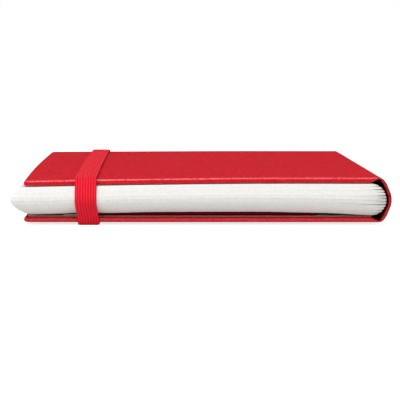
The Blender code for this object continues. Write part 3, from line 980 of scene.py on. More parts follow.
@dataclass
class CoverLeather:
    """Leatherette of one cover, over its fold and round half of the spine."""

    side: Side
    sizes: Sizes = SIZES
    fold_round: float = 0.0032
    taper_start: float = 0.1225
    front_rounds: Span = (0.0007, 0.00035)
    back_rounds: Span = (0.0008, 0.0009)
    fold_rounds: Span = (0.00016, 0.00014)
    spine_rounds: Span = (0.0004, 0.00038)
    spine_groove: Span = (0.0002, 0.0001)
    spine_wall: float = 0.0011
    spine_turn_in: float = 0.016
    fold_wall: float = 0.00045
    wall_run: float = 0.0025
    # Polish glosses the coat and also paints a highlight into the leather's colour.
    fold_polish_and_highlight: float = 0.5
    front_polish_and_highlight: Span = (0.75, 0.0)
    back_polish_and_highlight: Span = (0.0, 0.2)
    spine_polish_and_highlight: Span = (0.4, 0.4)
    # How much the spine's leather is darkened: painted shade.
    spine_shade: float = 0.7
    flank_inset: float = 0.0003
    flank_start: float = 0.001
    flank_run: float = 0.0032
    slot_depth: float = 0.0009
    slot_lip: float = 0.00006
    blend_before: float = 0.0025
    blend_after: float = 0.0012
    rows: int = 85
    corner_columns: int = 8
    run_columns: tuple[int, ...] = (64, 12, 14, 26)

    @property
    def fillet_x(self) -> float:
        """X of the fold's centre: its circle touches the cover's plane and the inside of the spine's."""
        reach = self.sizes.spine_radius - self.fold_round
        rise = self.sizes.case_height / 2 - self.fold_round
        return self.sizes.spine_centre_x + math.sqrt(reach**2 - rise**2)

    @property
    def spine_angle(self) -> float:
        """Angle on the spine at which the fold's circle touches it."""
        rise = self.sizes.case_height / 2 - self.fold_round
        return math.atan2(rise, self.fillet_x - self.sizes.spine_centre_x)

    @property
    def flat_end(self) -> float:
        """Length of the flat run from the fore-edge to the fold."""
        return self.fillet_x - self.sizes.fore_edge_x

    @property
    def fold_end(self) -> float:
        """Length from the fore-edge to the end of the fold's arc."""
        return self.flat_end + self.fold_round * (math.pi / 2 - self.spine_angle)

    @property
    def length(self) -> float:
        """Length from the fore-edge to the middle of the spine."""
        return self.fold_end + self.sizes.spine_radius * self.spine_angle

    def bend(self, run: Array, y: Array, depth: Array) -> Array:
        """Lays the flat leatherette over the cover, the fold and the spine.

        A run goes straight along the cover, then along the arc of the fold, then along the arc of the
        spine. The depth is taken off along the direction that faces outwards there, and a little more
        between the fold and the middle of the spine, where the spine is flatter than an arc.

        Args:
            run: Length from the fore-edge, along the outer face.
            y: Distance from the middle, towards the head.
            depth: Depth under the outer face.

        Returns:
            Positions, with the coordinate on the last axis.
        """
        sizes = self.sizes
        half = sizes.case_height / 2
        on_fold = math.pi / 2 - (run - self.flat_end) / self.fold_round
        on_spine = self.spine_angle - (run - self.fold_end) / sizes.spine_radius
        flat, fold = run < self.flat_end, run < self.fold_end
        angle = np.where(flat, math.pi / 2, np.where(fold, on_fold, on_spine))
        x_fold = self.fillet_x + self.fold_round * np.cos(angle)
        x_spine = sizes.spine_centre_x + sizes.spine_radius * np.cos(angle)
        x = np.where(flat, sizes.fore_edge_x + run, np.where(fold, x_fold, x_spine))
        h_fold = half - self.fold_round + self.fold_round * np.sin(angle)
        h = np.where(flat, half, np.where(fold, h_fold, sizes.spine_radius * np.sin(angle)))
        flank = soft_step((run - self.flat_end) / (self.fold_end - self.flat_end))
        flank = flank * soft_step((self.length - self.flank_start - run) / self.flank_run)
        depth = depth + self.flank_inset * flank
        x = x - depth * np.cos(angle)
        z = sizes.case_middle + self.side.value * (h - depth * np.sin(angle))
        if self.side is Side.FRONT:
            z = z - sizes.cover_droop * sizes.droop(x - sizes.fore_edge_x, y)
        return joined(x, y, z)

    def slot_lines(self) -> tuple[Array, Array]:
        """Runs and ys just inside and outside the edges of the two slots in the back cover."""
        sizes = self.sizes
        half = sizes.band_width / 2 + sizes.slot_gap
        lips = np.array((-self.slot_lip, self.slot_lip))
        runs = np.concatenate([sizes.anchor_u + edge + lips for edge in (-half, half)])
        edges = (sizes.slot_y - sizes.band_thickness - sizes.slot_gap, sizes.slot_y + sizes.slot_gap)
        ys = np.concatenate([edge + lips for edge in edges])
        return runs, np.concatenate((-ys, ys))

    def in_slot(self, run: Array, y: Array) -> Array:
        """Whether points lie within a slot."""
        sizes = self.sizes
        half = sizes.band_width / 2 + sizes.slot_gap
        middle = sizes.slot_y - sizes.band_thickness / 2
        reach = sizes.band_thickness / 2 + sizes.slot_gap
        return (np.abs(run - sizes.anchor_u) < half) & (np.abs(np.abs(y) - middle) < reach)

    def straight_runs(self) -> Array:
        """Runs of the columns after the round corners, closer together at the fold."""
        stops = (self.sizes.corner_radius, self.taper_start, self.flat_end, self.fold_end, self.length)
        spans = zip(stops, stops[1:], self.run_columns)
        parts = [np.linspace(start, end, count)[1:] for start, end, count in spans]
        if self.side is Side.BACK:
            parts.append(self.slot_lines()[0])
        return np.sort(np.concatenate(parts))

    def build(self, finishes: Finishes) -> bpy.types.Object:
        """Makes the closed shell: outer face, rim and inner face.

        The outline has round corners at the fore-edge. Each ring of the rim lies an inset in from the
        outline and a depth under the outer face; both change from the cover's rim through the thin fold to
        the spine's rim along the run. The mesh keeps how polished each point is, which glosses the coat and
        paints a highlight into the colour; how stretched it is, which evens the tone out to a lighter one as
        painted light on the edges; and how far inside it lies, which darkens the turn-in as painted shade.
        The spine's leather is darkened the same way.

        Args:
            finishes: The notebook's finishes.

        Returns:
            The object.
        """
        sizes = self.sizes
        front = self.side is Side.FRONT
        rounds = self.front_rounds if front else self.back_rounds
        turn_in = self.spine_turn_in
        cover = RimShape(sizes.cover, *rounds, sizes.cover - sizes.skin).points()
        fold = RimShape(self.fold_wall, *self.fold_rounds, sizes.skin, turn_in=turn_in).points()
        groove = self.spine_groove
        spine = RimShape(self.spine_wall, *self.spine_rounds, sizes.skin, *groove, turn_in).points()
        turn = np.linspace(0, math.pi / 2, self.corner_columns)
        straight = self.straight_runs()
        nominal = np.concatenate((np.zeros(turn.size), straight))
        thin = np.clip((nominal - self.taper_start) / (self.flat_end - self.taper_start), 0, 1)
        stiff = soft_step((nominal - self.flat_end) / self.wall_run)
        thin, stiff = thin[:, None, None], stiff[:, None, None]
        shape = (1 - thin) * cover + thin * ((1 - stiff) * fold + stiff * spine)
        inset, depth = shape[..., 0].T, shape[..., 1].T

        radius = sizes.corner_radius - inset[:, : turn.size]
        corner_runs = inset[:, : turn.size] + radius * (1 - np.cos(turn))
        runs = np.concatenate((corner_runs, np.broadcast_to(straight, (len(inset), straight.size))), axis=1)
        widths = sizes.half_length - inset
        widths[:, : turn.size] -= radius * (1 - np.sin(turn))

        rows = np.linspace(-1, 1, self.rows)
        if not front:
            rows = np.sort(np.concatenate((rows, self.slot_lines()[1] / widths[0, -1])))
        draft = Draft()
        face_y = rows * widths[0][:, None]
        face_run = np.broadcast_to(runs[0][:, None], face_y.shape)
        face_depth = np.broadcast_to(depth[0][:, None], face_y.shape)
        if not front:
            face_depth = face_depth + self.slot_depth * self.in_slot(face_run, face_y)
        # On the fold the coat is glossier and a highlight is painted into the colour.
        on_fold = (face_run - self.flat_end) / (self.fold_end - self.flat_end)
        fold_polish_and_highlight = self.fold_polish_and_highlight * np.sin(math.pi * np.clip(on_fold, 0, 1))
        face = draft.add(self.bend(face_run, face_y, face_depth), rim=fold_polish_and_highlight, stretch=0.0, inside=0.0)
        draft.skin(face)

        ring_run, ring_depth = along_border(runs, rows.size), along_border(depth, rows.size)
        ring_y = along_border(widths, rows.size) * border_shares(widths.shape[1], rows)
        bent = along_border(thin.reshape(1, -1), rows.size)
        # On the rims polish glosses the coat and paints a highlight into the colour.
        cover_polish_and_highlight = RimShape.polish_and_highlight(*(self.front_polish_and_highlight if front else self.back_polish_and_highlight))[1:-1, None]
        spine_polish_and_highlight = RimShape.polish_and_highlight(*self.spine_polish_and_highlight)[1:-1, None]
        polish_and_highlight = (1 - bent) * cover_polish_and_highlight + bent * spine_polish_and_highlight
        # The inside value darkens the inner round, the turn-in and the spine: painted shade.
        inside = np.maximum(RimShape.turned_in()[1:-1, None], self.spine_shade * bent)
        points = self.bend(ring_run, ring_y, ring_depth)[1:-1]
        rings = draft.add(points, rim=polish_and_highlight, stretch=1 - bent, inside=inside)

        lining_y = rows * widths[-1][:, None]
        points = self.bend(runs[-1][:, None], lining_y, depth[-1][:, None])
        lining = draft.add(points, rim=0.0, stretch=0.0, inside=1.0)
        draft.skin(lining)
        outer_loop, inner_loop = self.border(face), self.border(lining)
        draft.skin(np.concatenate((outer_loop[None], rings, inner_loop[None])))
        tail_end, head_end = rings[:, 0], rings[:, -1]
        draft.cap(np.concatenate((face[-1], head_end, lining[-1, ::-1], tail_end[::-1])))
        return draft.build(self.side.name.lower() + "_leather", [finishes.leatherette], sharp=50)

    @staticmethod
    def border(numbers: Array) -> Array:
        """Point numbers along a grid's tail, fore-edge and head."""
        return np.concatenate((numbers[::-1, 0], numbers[0, 1:], numbers[1:, -1]))

    def dress(self, piece: bpy.types.Object) -> None:
        """Bakes the piece's place into its mesh and hides the skins that it stands in for."""
        cover = self.side.name.lower()
        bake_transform(piece)
        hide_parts(cover + "_skin", "spine_skin")


@dataclass
class PageBlock:
    """The two halves of the sewn pages, with convex cut edges and rounded folds at the spine."""

    sizes: Sizes = SIZES
    fold_back: float = 0.00022
    fold_curve: float = 2.5
    gap_back: float = 0.00055
    crease_depth: float = 0.0009
    crease_reach: Span = (0.0015, 0.008)
    reach_share: Span = (0.4, 1.0)
    gap_loose: Span = (0.15, 1.0)
    leaf_loose: float = 0.7
    leaf_curve: int = 5
    leaf_depth: float = 0.3
    # How dark the painted shade is in the creases and on the spine face between signatures, and how much
    # less it is right at the spine.
    crease_shade: float = 1.25
    spine_shade: float = 0.3
    bare_share: float = 0.4
    bare_reach: float = 0.0008
    back_round: Span = (0.0032, 0.0022)
    unevenness: float = 0.00003
    first_seed: int = 11
    split_gap: float = 0.00001
    rows: int = 61
    corner_columns: int = 7
    straight_columns: int = 90
    crowding: float = 1.6
    shares: tuple[float, ...] = (0.09, 0.2, 0.35, 0.5, 0.65, 0.8, 0.91)

    def layers(self, half: Half) -> list[tuple[str, float, float]]:
        """Names and flat heights of one half's signatures, from the lowest up."""
        sizes = self.sizes
        middle = sizes.signatures // 2
        split = (sizes.signature - sizes.leaf_gap) / 2
        layers = []
        z = sizes.block_bottom + sizes.endpaper + sizes.leaf_gap
        for place in range(sizes.signatures):
            name = f"signature_{sizes.signatures - place:02d}"
            if place == middle:
                layers.append((Half.LOWER, name + "_lower", z, z + split))
                z += split + sizes.leaf_gap
                layers.append((Half.UPPER, name + "_upper", z, z + split))
                z += split + sizes.leaf_gap
            else:
                owner = Half.LOWER if place < middle else Half.UPPER
                layers.append((owner, name, z, z + sizes.signature))
                z += sizes.signature + sizes.leaf_gap
        return [(name, low, high) for owner, name, low, high in layers if owner is half]

    def close_split(self, half: Half, lows: Array, highs: Array) -> None:
        """Brings the innermost page of a half up to the height at which the block opens."""
        if half is Half.LOWER:
            highs[-1] = self.sizes.block_middle - self.split_gap
        else:
            lows[0] = self.sizes.block_middle + self.split_gap

    def levels(self, half: Half) -> tuple[Array, Array, Array]:
        """Heights of the rings, how far each lies back at the folds, and which lie between signatures.

        Args:
            half: Which half of the block.

        Returns:
            Flat heights, distances back from the rounded spine, and 1 for a ring between signatures.
        """
        layers = self.layers(half)
        lows = np.array([low for _, low, _ in layers])
        highs = np.array([high for _, _, high in layers])
        self.close_split(half, lows, highs)
        shares = np.array(self.shares)
        inside = lows[:, None] + (highs - lows)[:, None] * shares
        back = np.broadcast_to(self.fold_back * np.abs(2 * shares - 1) ** self.fold_curve, inside.shape)
        between = ((highs[:-1] + lows[1:]) / 2)[:, None]
        ends = np.array((lows[0], highs[-1]))
        heights = np.concatenate((inside.reshape(-1), between.reshape(-1), ends))
        gap_backs, end_backs = np.full(between.size, self.gap_back), np.full(ends.size, self.fold_back)
        lying_back = np.concatenate((back.reshape(-1), gap_backs, end_backs))
        gap = np.concatenate((np.zeros(inside.size), np.ones(between.size), np.zeros(ends.size)))
        order = np.argsort(heights)
        return heights[order], lying_back[order], gap[order]

    def outlines(self, half: Half, heights: Array, back: Array, gap: Array) -> tuple[Array, Array, Array]:
        """Half of the pages' outline at each level, from the fore-edge to the spine.

        It stands proud of the covers by the overhang and ends at the rounded spine, where the tail and head
        round in. Between two signatures the tail and head draw in by a crease that dies away from the spine.

        Args:
            half: Which half.
            heights: Flat heights of the levels.
            back: How far each level lies back at the spine.
            gap: 1 for a level between signatures, or else 0.

        Returns:
            Distances u, distances from the middle line, and how much painted shade the creases get, a row
            for each level.
        """
        sizes = self.sizes
        chance = np.random.default_rng(self.first_seed + list(Half).index(half))
        uneven = self.unevenness * chance.standard_normal(heights.size)
        reach = chance.uniform(*self.crease_reach, heights.size)
        reach = reach * chance.uniform(*self.reach_share, heights.size)
        gap_loose = chance.uniform(*self.gap_loose, heights.size)
        leaf_loose = self.leaf_loose * chance.random(heights.size) ** self.leaf_curve
        loose = np.where(gap > 0, gap_loose, leaf_loose)
        loose[[0, -1]] = 0
        depth = self.crease_depth * loose * np.where(gap > 0, 1, self.leaf_depth)

        proud = sizes.overhang(heights, sizes.fore_curves) + uneven
        proud_end = sizes.overhang(heights, sizes.end_curves) + uneven
        u_end = sizes.block_spine(heights) - back
        turn = np.linspace(0, math.pi / 2, self.corner_columns)
        radius = sizes.page_corner
        corner_u = -proud[:, None] + radius * (1 - np.cos(turn))
        start = (radius - proud)[:, None]
        run = np.linspace(0, 1, self.straight_columns)[1:]
        run = 1 - (1 - run) ** self.crowding
        u = np.concatenate((corner_u, start + run * (u_end[:, None] - start)), axis=1)
        width = np.repeat((sizes.half_length + proud_end)[:, None], u.shape[1], axis=1)
        width[:, : turn.size] -= radius * (1 - np.sin(turn))
        from_back = u_end[:, None] - u
        fade = np.exp(-from_back / reach[:, None])
        width -= depth[:, None] * fade
        near_back = np.clip(1 - from_back / self.back_round[0], 0, 1)
        width -= self.back_round[1] * (1 - np.sqrt(1 - near_back**2))
        # The crease value is painted shade: strongest near the spine, a little less right at it, dying away
        # from it.
        bare = 1 - self.bare_share * np.exp(-from_back / self.bare_reach)
        return u, width, np.clip(self.crease_shade * fade * bare * loose[:, None], 0, 1)

    def build(self, half: Half, finishes: Finishes) -> bpy.types.Object:
        """Makes one half: rings round its edges, level by level, and a page at the top and bottom.

        Args:
            half: Which half.
            finishes: The notebook's finishes.

        Returns:
            The object.
        """
        sizes = self.sizes
        heights, back, gap = self.levels(half)
        u, width, crease = self.outlines(half, heights, back, gap)
        rows = np.linspace(-1, 1, self.rows)
        columns, count = u.shape[1], rows.size
        spine_u = np.repeat(u[:, -1:], count - 2, axis=1)
        spine_y = rows[-2:0:-1] * width[:, -1:]
        # Painted shade on the spine face between signatures.
        spine_crease = np.repeat(self.spine_shade * gap[:, None], count - 2, axis=1)
        border_y = along_border(width, count) * border_shares(columns, rows)
        ring_u = np.concatenate((along_border(u, count), spine_u), axis=1)
        ring_y = np.concatenate((border_y, spine_y), axis=1)
        ring_crease = np.concatenate((along_border(crease, count), spine_crease), axis=1)
        leaf = (heights - sizes.block_bottom) / sizes.block_height * sizes.signatures * sizes.leaves
        draft = Draft()
        points = self.settle(ring_u, ring_y, heights[:, None])
        rings = draft.add(points, leaf=leaf[:, None], crease=ring_crease)
        draft.skin(np.concatenate((rings, rings[:, :1]), axis=1))
        for level in (0, -1):
            page = self.settle(u[level][:, None], rows * width[level][:, None], heights[level])
            numbers = np.empty((columns, count), dtype=int)
            numbers[1:-1, 1:-1] = draft.add(page[1:-1, 1:-1], leaf=leaf[level], crease=0.0)
            loop = np.concatenate((rings[level], rings[level][:1]))
            numbers[::-1, 0] = loop[:columns]
            numbers[0] = loop[columns - 1 : columns - 1 + count]
            numbers[:, -1] = loop[columns + count - 2 : 2 * columns + count - 2]
            numbers[-1, ::-1] = loop[2 * columns + count - 3 :]
            draft.skin(numbers, finish=1)
        return draft.build("pages_" + half.value, [finishes.page_edges, finishes.page_face], sharp=45)

    def settle(self, u: Array, y: Array, flat_z: Array) -> Array:
        """Positions in the settled block of points of the flat one."""
        z = self.sizes.block_level(u, y, flat_z)
        return joined(u + self.sizes.fore_edge_x, y, z)

    def dress(self, half: Half, piece: bpy.types.Object) -> None:
        """Lets one half ride with its body in place of its signatures."""
        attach(piece, half.body)
        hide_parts(*[name for name, _, _ in self.layers(half)])


@dataclass
class Binding:
    """What holds the block together at its spine: two strips of gauze and the thread in the middle fold."""

    sizes: Sizes = SIZES
    gauze: float = 0.0002
    gauze_gap: float = 0.00015
    gauze_margin: float = 0.008
    gauze_shoulder: float = 0.00043
    gauze_split: float = 0.0005
    gauze_columns: int = 28
    gauze_rows: int = 60
    thread_radius: float = 0.0002
    thread_gap: float = 0.0003
    thread_margin: float = 0.006
    thread_sides: int = 12
    thread_rows: int = 500
    core_share: float = 0.88
    ply_share: float = 0.14
    twist: float = 1.2
    sway_share: float = 0.25
    stitch: float = 0.012
    thread_count: float = 0.001

    def build_gauze(self, side: Side, finishes: Finishes) -> bpy.types.Object:
        """Makes a strip of gauze: the rounded back's line moved outwards twice, carried along the spine."""
        sizes = self.sizes
        top = sizes.block_height / 2 - self.gauze_shoulder
        heights = sizes.block_middle + side.value * np.linspace(self.gauze_split, top, self.gauze_columns)
        line = np.stack((sizes.fore_edge_x + sizes.block_spine(heights), heights), axis=-1)
        lengths, left = path_frame(line)
        outwards = -side.value * left
        inner = line + self.gauze_gap * outwards
        outer = line + (self.gauze_gap + self.gauze) * outwards
        section = np.concatenate((inner, outer[::-1]))
        across = np.concatenate((lengths, lengths[::-1])) / self.thread_count
        half = sizes.half_length - self.gauze_margin
        stations = np.linspace(-half, half, self.gauze_rows)[:, None]
        points = joined(section[:, 0], stations, section[:, 1])
        draft = Draft()
        draft.tube(draft.add(points, along=stations / self.thread_count, across=across))
        piece = draft.build(f"{side.name.lower()}_gauze", [finishes.gauze])
        body = "front_pages" if side is Side.FRONT else "back_cover"
        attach(piece, body)
        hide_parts("spine_gauze_" + side.name.lower())
        return piece

    def build_thread(self, finishes: Finishes) -> bpy.types.Object:
        """Makes the thread: a two-ply round section carried along a path that sways once in each stitch."""
        sizes = self.sizes
        fold = sizes.apex + self.gauze_gap + self.gauze + self.thread_gap / 2
        half = sizes.half_length - self.thread_margin
        stations = np.linspace(-half, half, self.thread_rows)[:, None]
        around = np.linspace(0, 2 * math.pi, self.thread_sides, endpoint=False)
        ply = 1 + self.ply_share * np.cos(2 * around - stations / self.thread_radius * self.twist)
        core = self.thread_radius * self.core_share * ply
        sway = self.sway_share * self.thread_radius * np.cos(2 * math.pi * stations / self.stitch)
        x = sizes.fore_edge_x + fold + sway + core * np.cos(around)
        z = sizes.block_middle + core * np.sin(around)
        draft = Draft()
        points = joined(x, stations, z)
        across = around / math.pi
        draft.tube(draft.add(points, along=stations / self.thread_count, across=across))
        piece = draft.build("stitched_thread", [finishes.thread])
        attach(piece, "back_cover")
        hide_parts("sewing_thread")
        return piece


@dataclass
class PocketSides:
    """The two folded cloth sides of the pocket inside the back cover."""

    sizes: Sizes = SIZES
    cloth: float = 0.00018
    fold_gap: float = 0.00005
    glue: float = 0.00004
    gap: float = 0.00015
    panel: float = 0.00028
    margin: float = 0.0022
    width: float = 0.0035
    start: float = 0.02428
    weave: float = 0.0025
    corner_share: float = 0.49
    step: float = 0.00008
    rows: int = 60

    def fold_line(self) -> Array:
        """Middle of the cloth across the pocket: along the cover, back, and round the panel's edge."""
        sizes = self.sizes
        low = sizes.back_inner + self.glue + self.cloth / 2
        high = sizes.back_inner + self.gap + self.fold_gap + 1.5 * self.cloth
        top = high + self.cloth + 2 * self.gap + self.panel
        edge = sizes.half_length - self.margin
        fold = edge - self.width
        outer = edge - self.cloth / 2
        inner = fold + self.cloth / 2
        corners = [(edge, low), (inner, low), (inner, high), (outer, high), (outer, top), (fold, top)]
        small = (high - low) * self.corner_share
        large = (top - high) * self.corner_share
        return rounded_path(corners, (small, small, large, large), self.step)

    def build(self, end: End, finishes: Finishes) -> bpy.types.Object:
        """Makes one side: the fold line thickened both ways and carried along the pocket.

        Args:
            end: Which end of the notebook.
            finishes: The notebook's finishes.

        Returns:
            The object.
        """
        sizes = self.sizes
        line = self.fold_line()
        lengths, left = path_frame(line)
        section = np.concatenate((line + self.cloth / 2 * left, (line - self.cloth / 2 * left)[::-1]))
        across = np.concatenate((lengths, lengths[::-1])) / self.weave
        stations = np.linspace(self.start, sizes.pocket_opening, self.rows)[:, None]
        x = sizes.fore_edge_x + stations
        points = joined(x, end.value * section[:, 0], section[:, 1])
        draft = Draft()
        draft.tube(draft.add(points, along=stations / self.weave, across=across))
        name = end.name.lower()
        piece = draft.build("pocket_side_" + name, [finishes.cloth], sharp=60)
        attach(piece, "back_cover")
        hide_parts("pocket_gusset_" + name)
        return piece


@dataclass
class ElasticClosure:
    """The ribbed elastic band and its two ends under the back cover."""

    sizes: Sizes = SIZES
    ribs: int = 8
    rib_share: float = 0.24
    rib_curve: float = 0.7
    edge_curve: int = 10
    side_points: int = 61
    page_points: int = 60
    cover_points: int = 80
    directions: int = 2000
    short_turn: float = 0.0001
    ring_step: float = 0.0007
    fine_steps: int = 4
    ease: float = 0.0006
    ease_reach: float = 3
    tab_top: float = 0.0024
    tab_round: float = 0.0006
    slack: float = 0.04

    @property
    def fine_step(self) -> float:
        """Distance between points of the band's line while it is eased."""
        return self.ring_step / self.fine_steps

    def section(self) -> tuple[Array, Array]:
        """Distances across and out of the band's middle, round its section.

        The thickness falls to nothing at the edges along a superellipse, and the ribs are the absolute
        value of a sine across the band.
        """
        half = self.sizes.band_width / 2
        upper = np.linspace(-half, half, self.side_points)
        across = np.concatenate((upper, upper[-2:0:-1]))
        side = np.concatenate((np.ones(upper.size), -np.ones(upper.size - 2)))
        share = across / self.sizes.band_width + 0.5
        rib = np.abs(np.sin(math.pi * self.ribs * share)) ** self.rib_curve
        edge = np.sqrt(np.clip(1 - np.abs(across / half) ** self.edge_curve, 0, 1))
        return across, side * self.sizes.band_thickness / 2 * edge * (1 - self.rib_share * (1 - rib))

    def loop_line(self) -> Array:
        """Middle line of the stretched band, from the tail's lower edge over the front cover to the head's.

        In each direction outwards the band touches whichever point of the notebook lies farthest that way,
        and its middle lies a set distance beyond that point. The line is then eased so that it bends
        gently.
        """
        sizes = self.sizes
        u = sizes.band_from_edge
        flat_z = sizes.block_bottom + np.linspace(0, 1, self.page_points) * sizes.block_height
        page_y = sizes.half_length + sizes.overhang(flat_z, sizes.end_curves)
        tail_z = sizes.block_level(u, -page_y, flat_z)
        head_z = sizes.block_level(u, page_y, flat_z)
        cover_y = np.linspace(-sizes.half_length, sizes.half_length, self.cover_points)
        cover_z = sizes.front_outer - sizes.cover_droop * sizes.droop(u, cover_y)
        y = np.concatenate((-page_y, page_y, cover_y, (-sizes.half_length, sizes.half_length)))
        z = np.concatenate((tail_z, head_z, cover_z, (sizes.back_outer, sizes.back_outer)))
        first, last = 1.5 * math.pi - self.short_turn, -0.5 * math.pi + self.short_turn
        angle = np.linspace(first, last, self.directions)
        outwards = np.stack((np.cos(angle), np.sin(angle)), axis=-1)
        farthest = np.argmax(outwards @ np.stack((y, z)), axis=1)
        reach = sizes.band_gap + sizes.band_thickness / 2
        line = np.stack((y[farthest], z[farthest]), axis=-1) + reach * outwards
        return self.eased(evenly_spaced(line, self.fine_step))[:: self.fine_steps]

    def eased(self, line: Array) -> Array:
        """A line averaged with its neighbours by a bell curve, with its ends carried on straight."""
        reach = round(self.ease_reach * self.ease / self.fine_step)
        bell = np.exp(-0.5 * (np.arange(-reach, reach + 1) * self.fine_step / self.ease) ** 2)
        bell /= bell.sum()
        before = 2 * line[0] - line[reach:0:-1]
        after = 2 * line[-1] - line[-2 : -reach - 2 : -1]
        longer = np.concatenate((before, line, after))
        return np.stack([np.convolve(column, bell, mode="valid") for column in longer.T], axis=-1)

    def sweep(self, name: str, line: Array, middle_x: Array, finishes: Finishes) -> bpy.types.Object:
        """Carries the band's section along a line.

        Args:
            name: The piece's name.
            line: Points of the band's middle, in y and z.
            middle_x: X of the band's middle at each point.
            finishes: The notebook's finishes.

        Returns:
            The object.
        """
        across, out = self.section()
        lengths, left = path_frame(line)
        x = middle_x[:, None] + across
        y = line[:, :1] + left[:, :1] * out
        z = line[:, 1:] + left[:, 1:] * out
        width = self.sizes.band_width
        draft = Draft()
        along = (lengths / width)[:, None]
        draft.tube(draft.add(joined(x, y, z), along=along, across=across / width + 0.5))
        return draft.build(name, [finishes.elastic], sharp=80)

    def build_loop(self, finishes: Finishes) -> bpy.types.Object:
        """Makes the stretched band, which leans towards its ends below the middle of the pages."""
        sizes = self.sizes
        line = self.loop_line()
        fall = (sizes.block_middle - line[:, 1]) / (sizes.block_middle - sizes.back_outer)
        piece = self.sweep("elastic_loop", line, sizes.band_x + sizes.band_skew * soft_step(fall), finishes)
        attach(piece, "elastic")
        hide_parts("elastic_band")
        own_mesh(piece)
        return piece

    def build_end(self, end: End, finishes: Finishes) -> bpy.types.Object:
        """Makes one end: along the back cover and up into its slot."""
        sizes = self.sizes
        level = sizes.band_thickness / 2
        tab = sizes.slot_y - sizes.band_thickness / 2
        corners = [(sizes.half_length, level), (tab, level), (tab, self.tab_top)]
        line = rounded_path(corners, (self.tab_round,), self.ring_step)
        line[:, 0] *= end.value
        middle = np.full(len(line), sizes.fore_edge_x + sizes.anchor_u)
        name = end.name.lower()
        piece = self.sweep("elastic_end_" + name, line, middle, finishes)
        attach(piece, "back_cover")
        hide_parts("elastic_anchor_" + name)
        return piece


@dataclass(frozen=True)
class Lamp:
    """A square lamp: its place, the point that it faces, the length of its sides and its power in watts."""

    name: str
    place: Place
    aim: Place
    side: float
    power: float


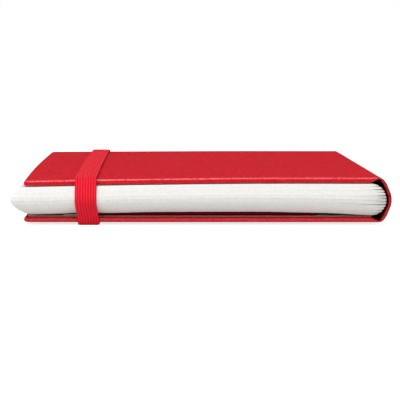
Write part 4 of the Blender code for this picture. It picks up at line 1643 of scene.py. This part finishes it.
@dataclass
class Studio:
    """Pale floor, soft light and the camera."""

    camera_place: Place = (-0.013685, -0.916829, 0.062603)
    camera_yaw: float = 0.0162
    camera_pitch: float = 0.06607
    camera_roll: float = 0.00135
    camera_near: float = 0.01
    focal_pixels: float = 2307.64
    sensor: float = 36.0
    floor_half: float = 4.0
    floor_tones: Span = (0.78, 0.80)
    floor_clouds: float = 6.0
    floor_roughness: float = 0.9
    floor_lift: Span = (0.78, 0.85)
    lift_reach: Span = (0.16, 0.5)
    ambient: float = 0.56
    lamp_upright: Place = (0, 1, 0.001)
    lamps: tuple[Lamp, ...] = (
        Lamp("overhead_lamp", place=(-0.35, -0.55, 1.06), aim=(0, 0, 0), side=1.0, power=8.1),
        Lamp("front_lamp", place=(-0.5, -1.12, 0.5), aim=(0, 0, 0.01), side=0.8, power=2.2),
    )

    def build_floor(self) -> None:
        """Makes the floor: white, and a little brighter to the camera so that it meets the background."""
        draft = Draft()
        edge = np.array((-self.floor_half, self.floor_half))
        draft.skin(draft.add(joined(edge[:, None], edge, 0.0)))
        material, pad, shader = Finish.start("white_floor")
        place = pad.place()
        dim, bright = [(tone,) * 3 for tone in self.floor_tones]
        away = pad.add("VectorMath", {0: place}, operation="LENGTH").outputs["Value"]
        lift = pad.ranged(away, self.lift_reach, self.floor_lift)
        looks = {
            "Base Color": pad.blend(pad.noise(place, self.floor_clouds), dim, bright),
            "Roughness": self.floor_roughness,
            "Specular IOR Level": 0.0,
            "Emission Color": (1, 1, 1, 1),
            "Emission Strength": pad.math("MULTIPLY", self.seen_directly(pad), lift),
        }
        pad.feed(shader, looks)
        floor = draft.build("floor", [material])

    @staticmethod
    def seen_directly(pad: NodePad) -> bpy.types.NodeSocket:
        """1 for rays from the camera and for mirrored or refracted ones."""
        path = pad.add("LightPath")
        mirrored = pad.math("MAXIMUM", path.outputs["Is Glossy Ray"], path.outputs["Is Transmission Ray"])
        return pad.math("MAXIMUM", path.outputs["Is Camera Ray"], mirrored)

    def build_world(self) -> None:
        """Makes the background white to the camera and softer as light."""
        world = bpy.data.worlds.new("studio")
        bpy.context.scene.world = world
        world.use_nodes = True
        pad = NodePad(world.node_tree)
        strength = pad.ranged(self.seen_directly(pad), to=(self.ambient, 1.0))
        pad.feed(world.node_tree.nodes["Background"], {"Color": (1, 1, 1, 1), "Strength": strength})

    @staticmethod
    def hang(name: str, data: bpy.types.ID, place: Place, axes: Sequence[Array]) -> bpy.types.Object:
        """Adds a lamp or a camera to the scene.

        Args:
            name: Its name.
            data: The lamp or camera itself.
            place: Where it goes.
            axes: Where its own right, up and back point.

        Returns:
            The object.
        """
        obj = bpy.data.objects.new(name, data)
        turn = np.stack(axes, axis=1)
        obj.matrix_world = Matrix.Translation(place) @ Matrix(turn.tolist()).to_4x4()
        bpy.context.scene.collection.objects.link(obj)
        return obj

    def build_lamp(self, lamp: Lamp) -> None:
        """Hangs a lamp that faces its aim."""
        light = bpy.data.lights.new(lamp.name, "AREA")
        light.shape = "SQUARE"
        light.size = lamp.side
        light.energy = lamp.power
        back = np.array(lamp.place, dtype=float) - np.array(lamp.aim, dtype=float)
        back /= np.linalg.norm(back)
        right = np.cross(self.lamp_upright, back)
        right /= np.linalg.norm(right)
        self.hang(lamp.name, light, lamp.place, (right, np.cross(back, right), back))

    def build_camera(self) -> None:
        """Sets up the camera at the photograph's viewpoint, from its yaw, pitch and roll."""
        yaw, pitch, roll = self.camera_yaw, self.camera_pitch, self.camera_roll
        ahead = np.array((
            math.sin(yaw) * math.cos(pitch),
            math.cos(yaw) * math.cos(pitch),
            -math.sin(pitch),
        ))
        right = np.array((math.cos(yaw), -math.sin(yaw), 0))
        above = np.cross(right, ahead)
        leaning_right = math.cos(roll) * right + math.sin(roll) * above
        leaning_up = math.cos(roll) * above - math.sin(roll) * right
        camera = bpy.data.cameras.new("camera")
        camera.sensor_width = self.sensor
        camera.lens = self.sensor * self.focal_pixels / IMAGE_SIDE
        camera.clip_start = self.camera_near
        axes = (leaning_right, leaning_up, -ahead)
        bpy.context.scene.camera = self.hang("camera", camera, self.camera_place, axes)

    def build(self) -> None:
        """Sets up everything round the notebook."""
        bpy.context.scene.view_settings.view_transform = "Standard"
        self.build_floor()
        self.build_world()
        for lamp in self.lamps:
            self.build_lamp(lamp)
        self.build_camera()


def dress_plain_parts(finishes: Finishes) -> None:
    """Gives the sheets and boards that keep their own shape their finishes."""
    looks = {
        "front_board": finishes.board,
        "back_board": finishes.board,
        "spine_liner": finishes.card,
        "front_pastedown": finishes.endpaper,
        "back_pastedown": finishes.endpaper,
        "front_flyleaf": finishes.page_face,
        "back_flyleaf": finishes.page_face,
        "pocket_panel": finishes.card,
    }
    for name, finish in looks.items():
        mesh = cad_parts[name].data
        mesh.materials.clear()
        mesh.materials.append(finish)
        LOG.info("%s: finished as %s", name, finish.name)


def main() -> None:
    """Builds the notebook, piece by piece, and the studio round it."""
    logging.basicConfig(level=logging.INFO, format="%(name)s %(message)s")
    finishes = Finishes.make()
    for side in Side:
        leather = CoverLeather(side)
        leather.dress(leather.build(finishes))
    block = PageBlock()
    for half in Half:
        block.dress(half, block.build(half, finishes))
    binding = Binding()
    for side in Side:
        binding.build_gauze(side, finishes)
    binding.build_thread(finishes)
    pocket, elastic = PocketSides(), ElasticClosure()
    elastic.build_loop(finishes)
    for end in End:
        pocket.build(end, finishes)
        elastic.build_end(end, finishes)
    dress_plain_parts(finishes)
    Studio().build()


if __name__ == "__main__":
    main()
